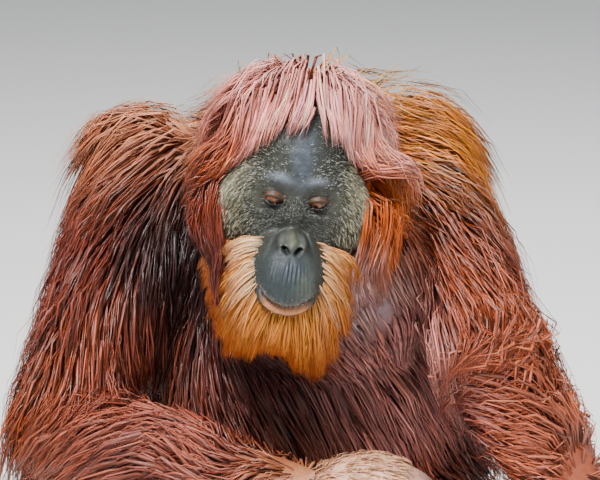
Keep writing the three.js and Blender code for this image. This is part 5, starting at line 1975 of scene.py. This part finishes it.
TRUNK_COATS = (  # name, part, count, length, tile on the map
    ("chest_hair", "torso", 6000, 125, 0, {"arc": (0, 180), "rows": 4}),
    ("back_hair", "torso", 5000, 140, 0, {"arc": (180, 360), "rows": 4, "width": 2.8}),
    ("shoulder_hair", "torso", 2600, 120, 0, {"span": (0.86, 1.085), "rows": 4, "width": 2.6}),
    ("neck_hair", "neck", 3400, 150, 1, {"rows": 4, "width": 2.4}),
    ("throat_hair", "pouch", 2400, 60, 2, {"rows": 4, "width": 2.2}),
)
LIMB_COATS = (
    ("upper_arm", 6200, 165, {"span": (-0.3, 1.1)}),
    ("forearm", 5400, 120, {"hang": 0.9, "span": (0.0, 1.06)}),
    ("thigh", 2900, 100, {"span": (0.0, 1.15), "width": 2.8}),
    ("shin", 2000, 80, {"width": 2.6}),
)
HAND_COAT = {"hang": 0.2, "arc": (-5, 185), "width": 1.1, "clump": 12, "gather": 0.3, "rows": 4}


@dataclass
class Coat:
    """All the hair of the animal, in pieces."""

    body: Body
    made: list[Object] = field(default_factory=list)
    triangles: int = 0

    def add(self, name: str, tufts: Tufts, material: bpy.types.Material, slot: str) -> None:
        """Adds tufts to the coat, in as many pieces as their triangles ask for."""
        each = 6 * (tufts.paths.shape[1] - 1) - 2
        pieces = math.ceil(len(tufts.paths) * each / TRIANGLES_A_PIECE)
        part = np.arange(len(tufts.paths)) * pieces // max(len(tufts.paths), 1)
        for k in range(pieces):
            own = f"{name}_{k + 1}" if pieces > 1 else name
            piece = new_object(own, tufts.kept(part == k).mesh(own), material)
            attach(piece, "root")
            self.made.append(piece)
        self.triangles += len(tufts.paths) * each
        LOG.info("%s: %d tufts, %d triangles", name, len(tufts.paths), len(tufts.paths) * each)

    def flesh(self) -> Flesh:
        """The body as the comb feels it."""
        sheaths = {}
        for name, tube in self.body.limbs.items():
            kind = name.removesuffix(f"_{RIGHT}").removesuffix(f"_{LEFT}")
            sheaths[name] = Sheath(tube, LIES.get(kind, 1.0))
        for end in self.body.ends:
            sheaths[end.name] = Sheath(end.tubes[0], 1.0, 7)
        return Flesh(self.body.head, sheaths)

    def build(self) -> list[Object]:
        """Grows every piece."""
        fur = HairFinish("body_hair").material()
        beard = HairFinish("beard_hair", 0.45, 0.4).material()
        head, flesh = self.body.head, self.flesh()
        self.add("hair_of_head", HeadHair(head).grow(100), fur, "coat")
        self.add("hair_of_nape", NapeHair().grow(flesh, 105), fur, "coat")
        self.add("beard_and_whiskers", Beard(head).grow(110), beard, "beard")
        self.add("down_of_face", FaceDown(head).grow(120), fur, "coat")
        plans = [LimbCoat(*sizes, **more) for *sizes, more in TRUNK_COATS]
        for row, side in ((4, RIGHT), (8, LEFT)):
            for k, (part, count, length, more) in enumerate(LIMB_COATS):
                name = f"{part}_hair_{side}"
                plans.append(LimbCoat(name, f"{part}_{side}", count, length, row + k, rows=4, **more))
        for tile, end in enumerate(self.body.ends, 12):
            plans.append(LimbCoat(f"hair_of_{end.name}", end.name, 560, 24, tile, **HAND_COAT))
        for k, plan in enumerate(plans):
            self.add(plan.name, plan.grow(flesh, 200 + 10 * k), fur, "coat")
        LOG.info("coat: %d triangles", self.triangles)
        return self.made


@dataclass
class Studio:
    """A pale floor, soft light and the camera."""

    def build(self) -> None:
        """Makes them all."""
        half = 14.0 / MM
        corners = half * np.array([(-1, -1, 0), (1, -1, 0), (1, 1, 0), (-1, 1, 0)], float)
        mesh = mesh_of("floor", corners, np.array([[0, 1, 2, 3]]))
        floor = new_object("floor", mesh, FloorFinish().material())
        world = bpy.data.worlds.new("studio")
        world.use_nodes = True
        world.node_tree.nodes["Background"].inputs[0].default_value = (0.92, 0.95, 1.0, 1)
        world.node_tree.nodes["Background"].inputs[1].default_value = 0.42
        bpy.context.scene.world = world
        self.lamp("key", (-0.8, -1.6, 3.4), 1.2, 250.0)
        self.lamp("fill", (2.2, -2.8, 1.6), 2.6, 34.0)
        self.lamp("back", (0.5, 1.4, 3.2), 1.6, 130.0)
        self.camera()

    def lamp(self, name: str, place: tuple, size: float, watts: float) -> None:
        """A soft square light, aimed at the head."""
        light = bpy.data.lights.new(name, "AREA")
        light.size, light.energy = size, watts
        lamp = bpy.data.objects.new(name, light)
        aim = vec(0, -0.15, 0.45) - vec(*place)
        lamp.location = place
        flat = math.hypot(aim[0], aim[1])
        lamp.rotation_euler = (math.atan2(flat, -aim[2]), 0.0, math.atan2(-aim[0], aim[1]))
        bpy.context.scene.collection.objects.link(lamp)

    def camera(self) -> None:
        """The camera, 3.8 m from the face and 15 degrees above level."""
        data = bpy.data.cameras.new("camera")
        data.lens, data.sensor_width = 190.0, 36.0
        camera = bpy.data.objects.new("camera", data)
        camera.location = (0.0002, -3.9829, 1.5921)
        camera.rotation_euler = (math.radians(75), 0.0, 0.0)
        bpy.context.scene.collection.objects.link(camera)
        bpy.context.scene.camera = camera


def main() -> None:
    """Builds the model round the frame."""
    logging.basicConfig(level=logging.INFO, format="%(message)s")
    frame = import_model()
    LOG.info("frame: %d nodes", len(frame["nodes"]))
    Studio().build()
    body = Body()
    skin = Skin(body).build()
    LOG.info("skin: %d faces", len(skin.data.polygons))
    Eyes(body.head).build()
    nail = NailFinish().material()
    for end in body.ends:
        Nails(end).build(nail)
    Coat(body).build()


if __name__ == "__main__":
    main()
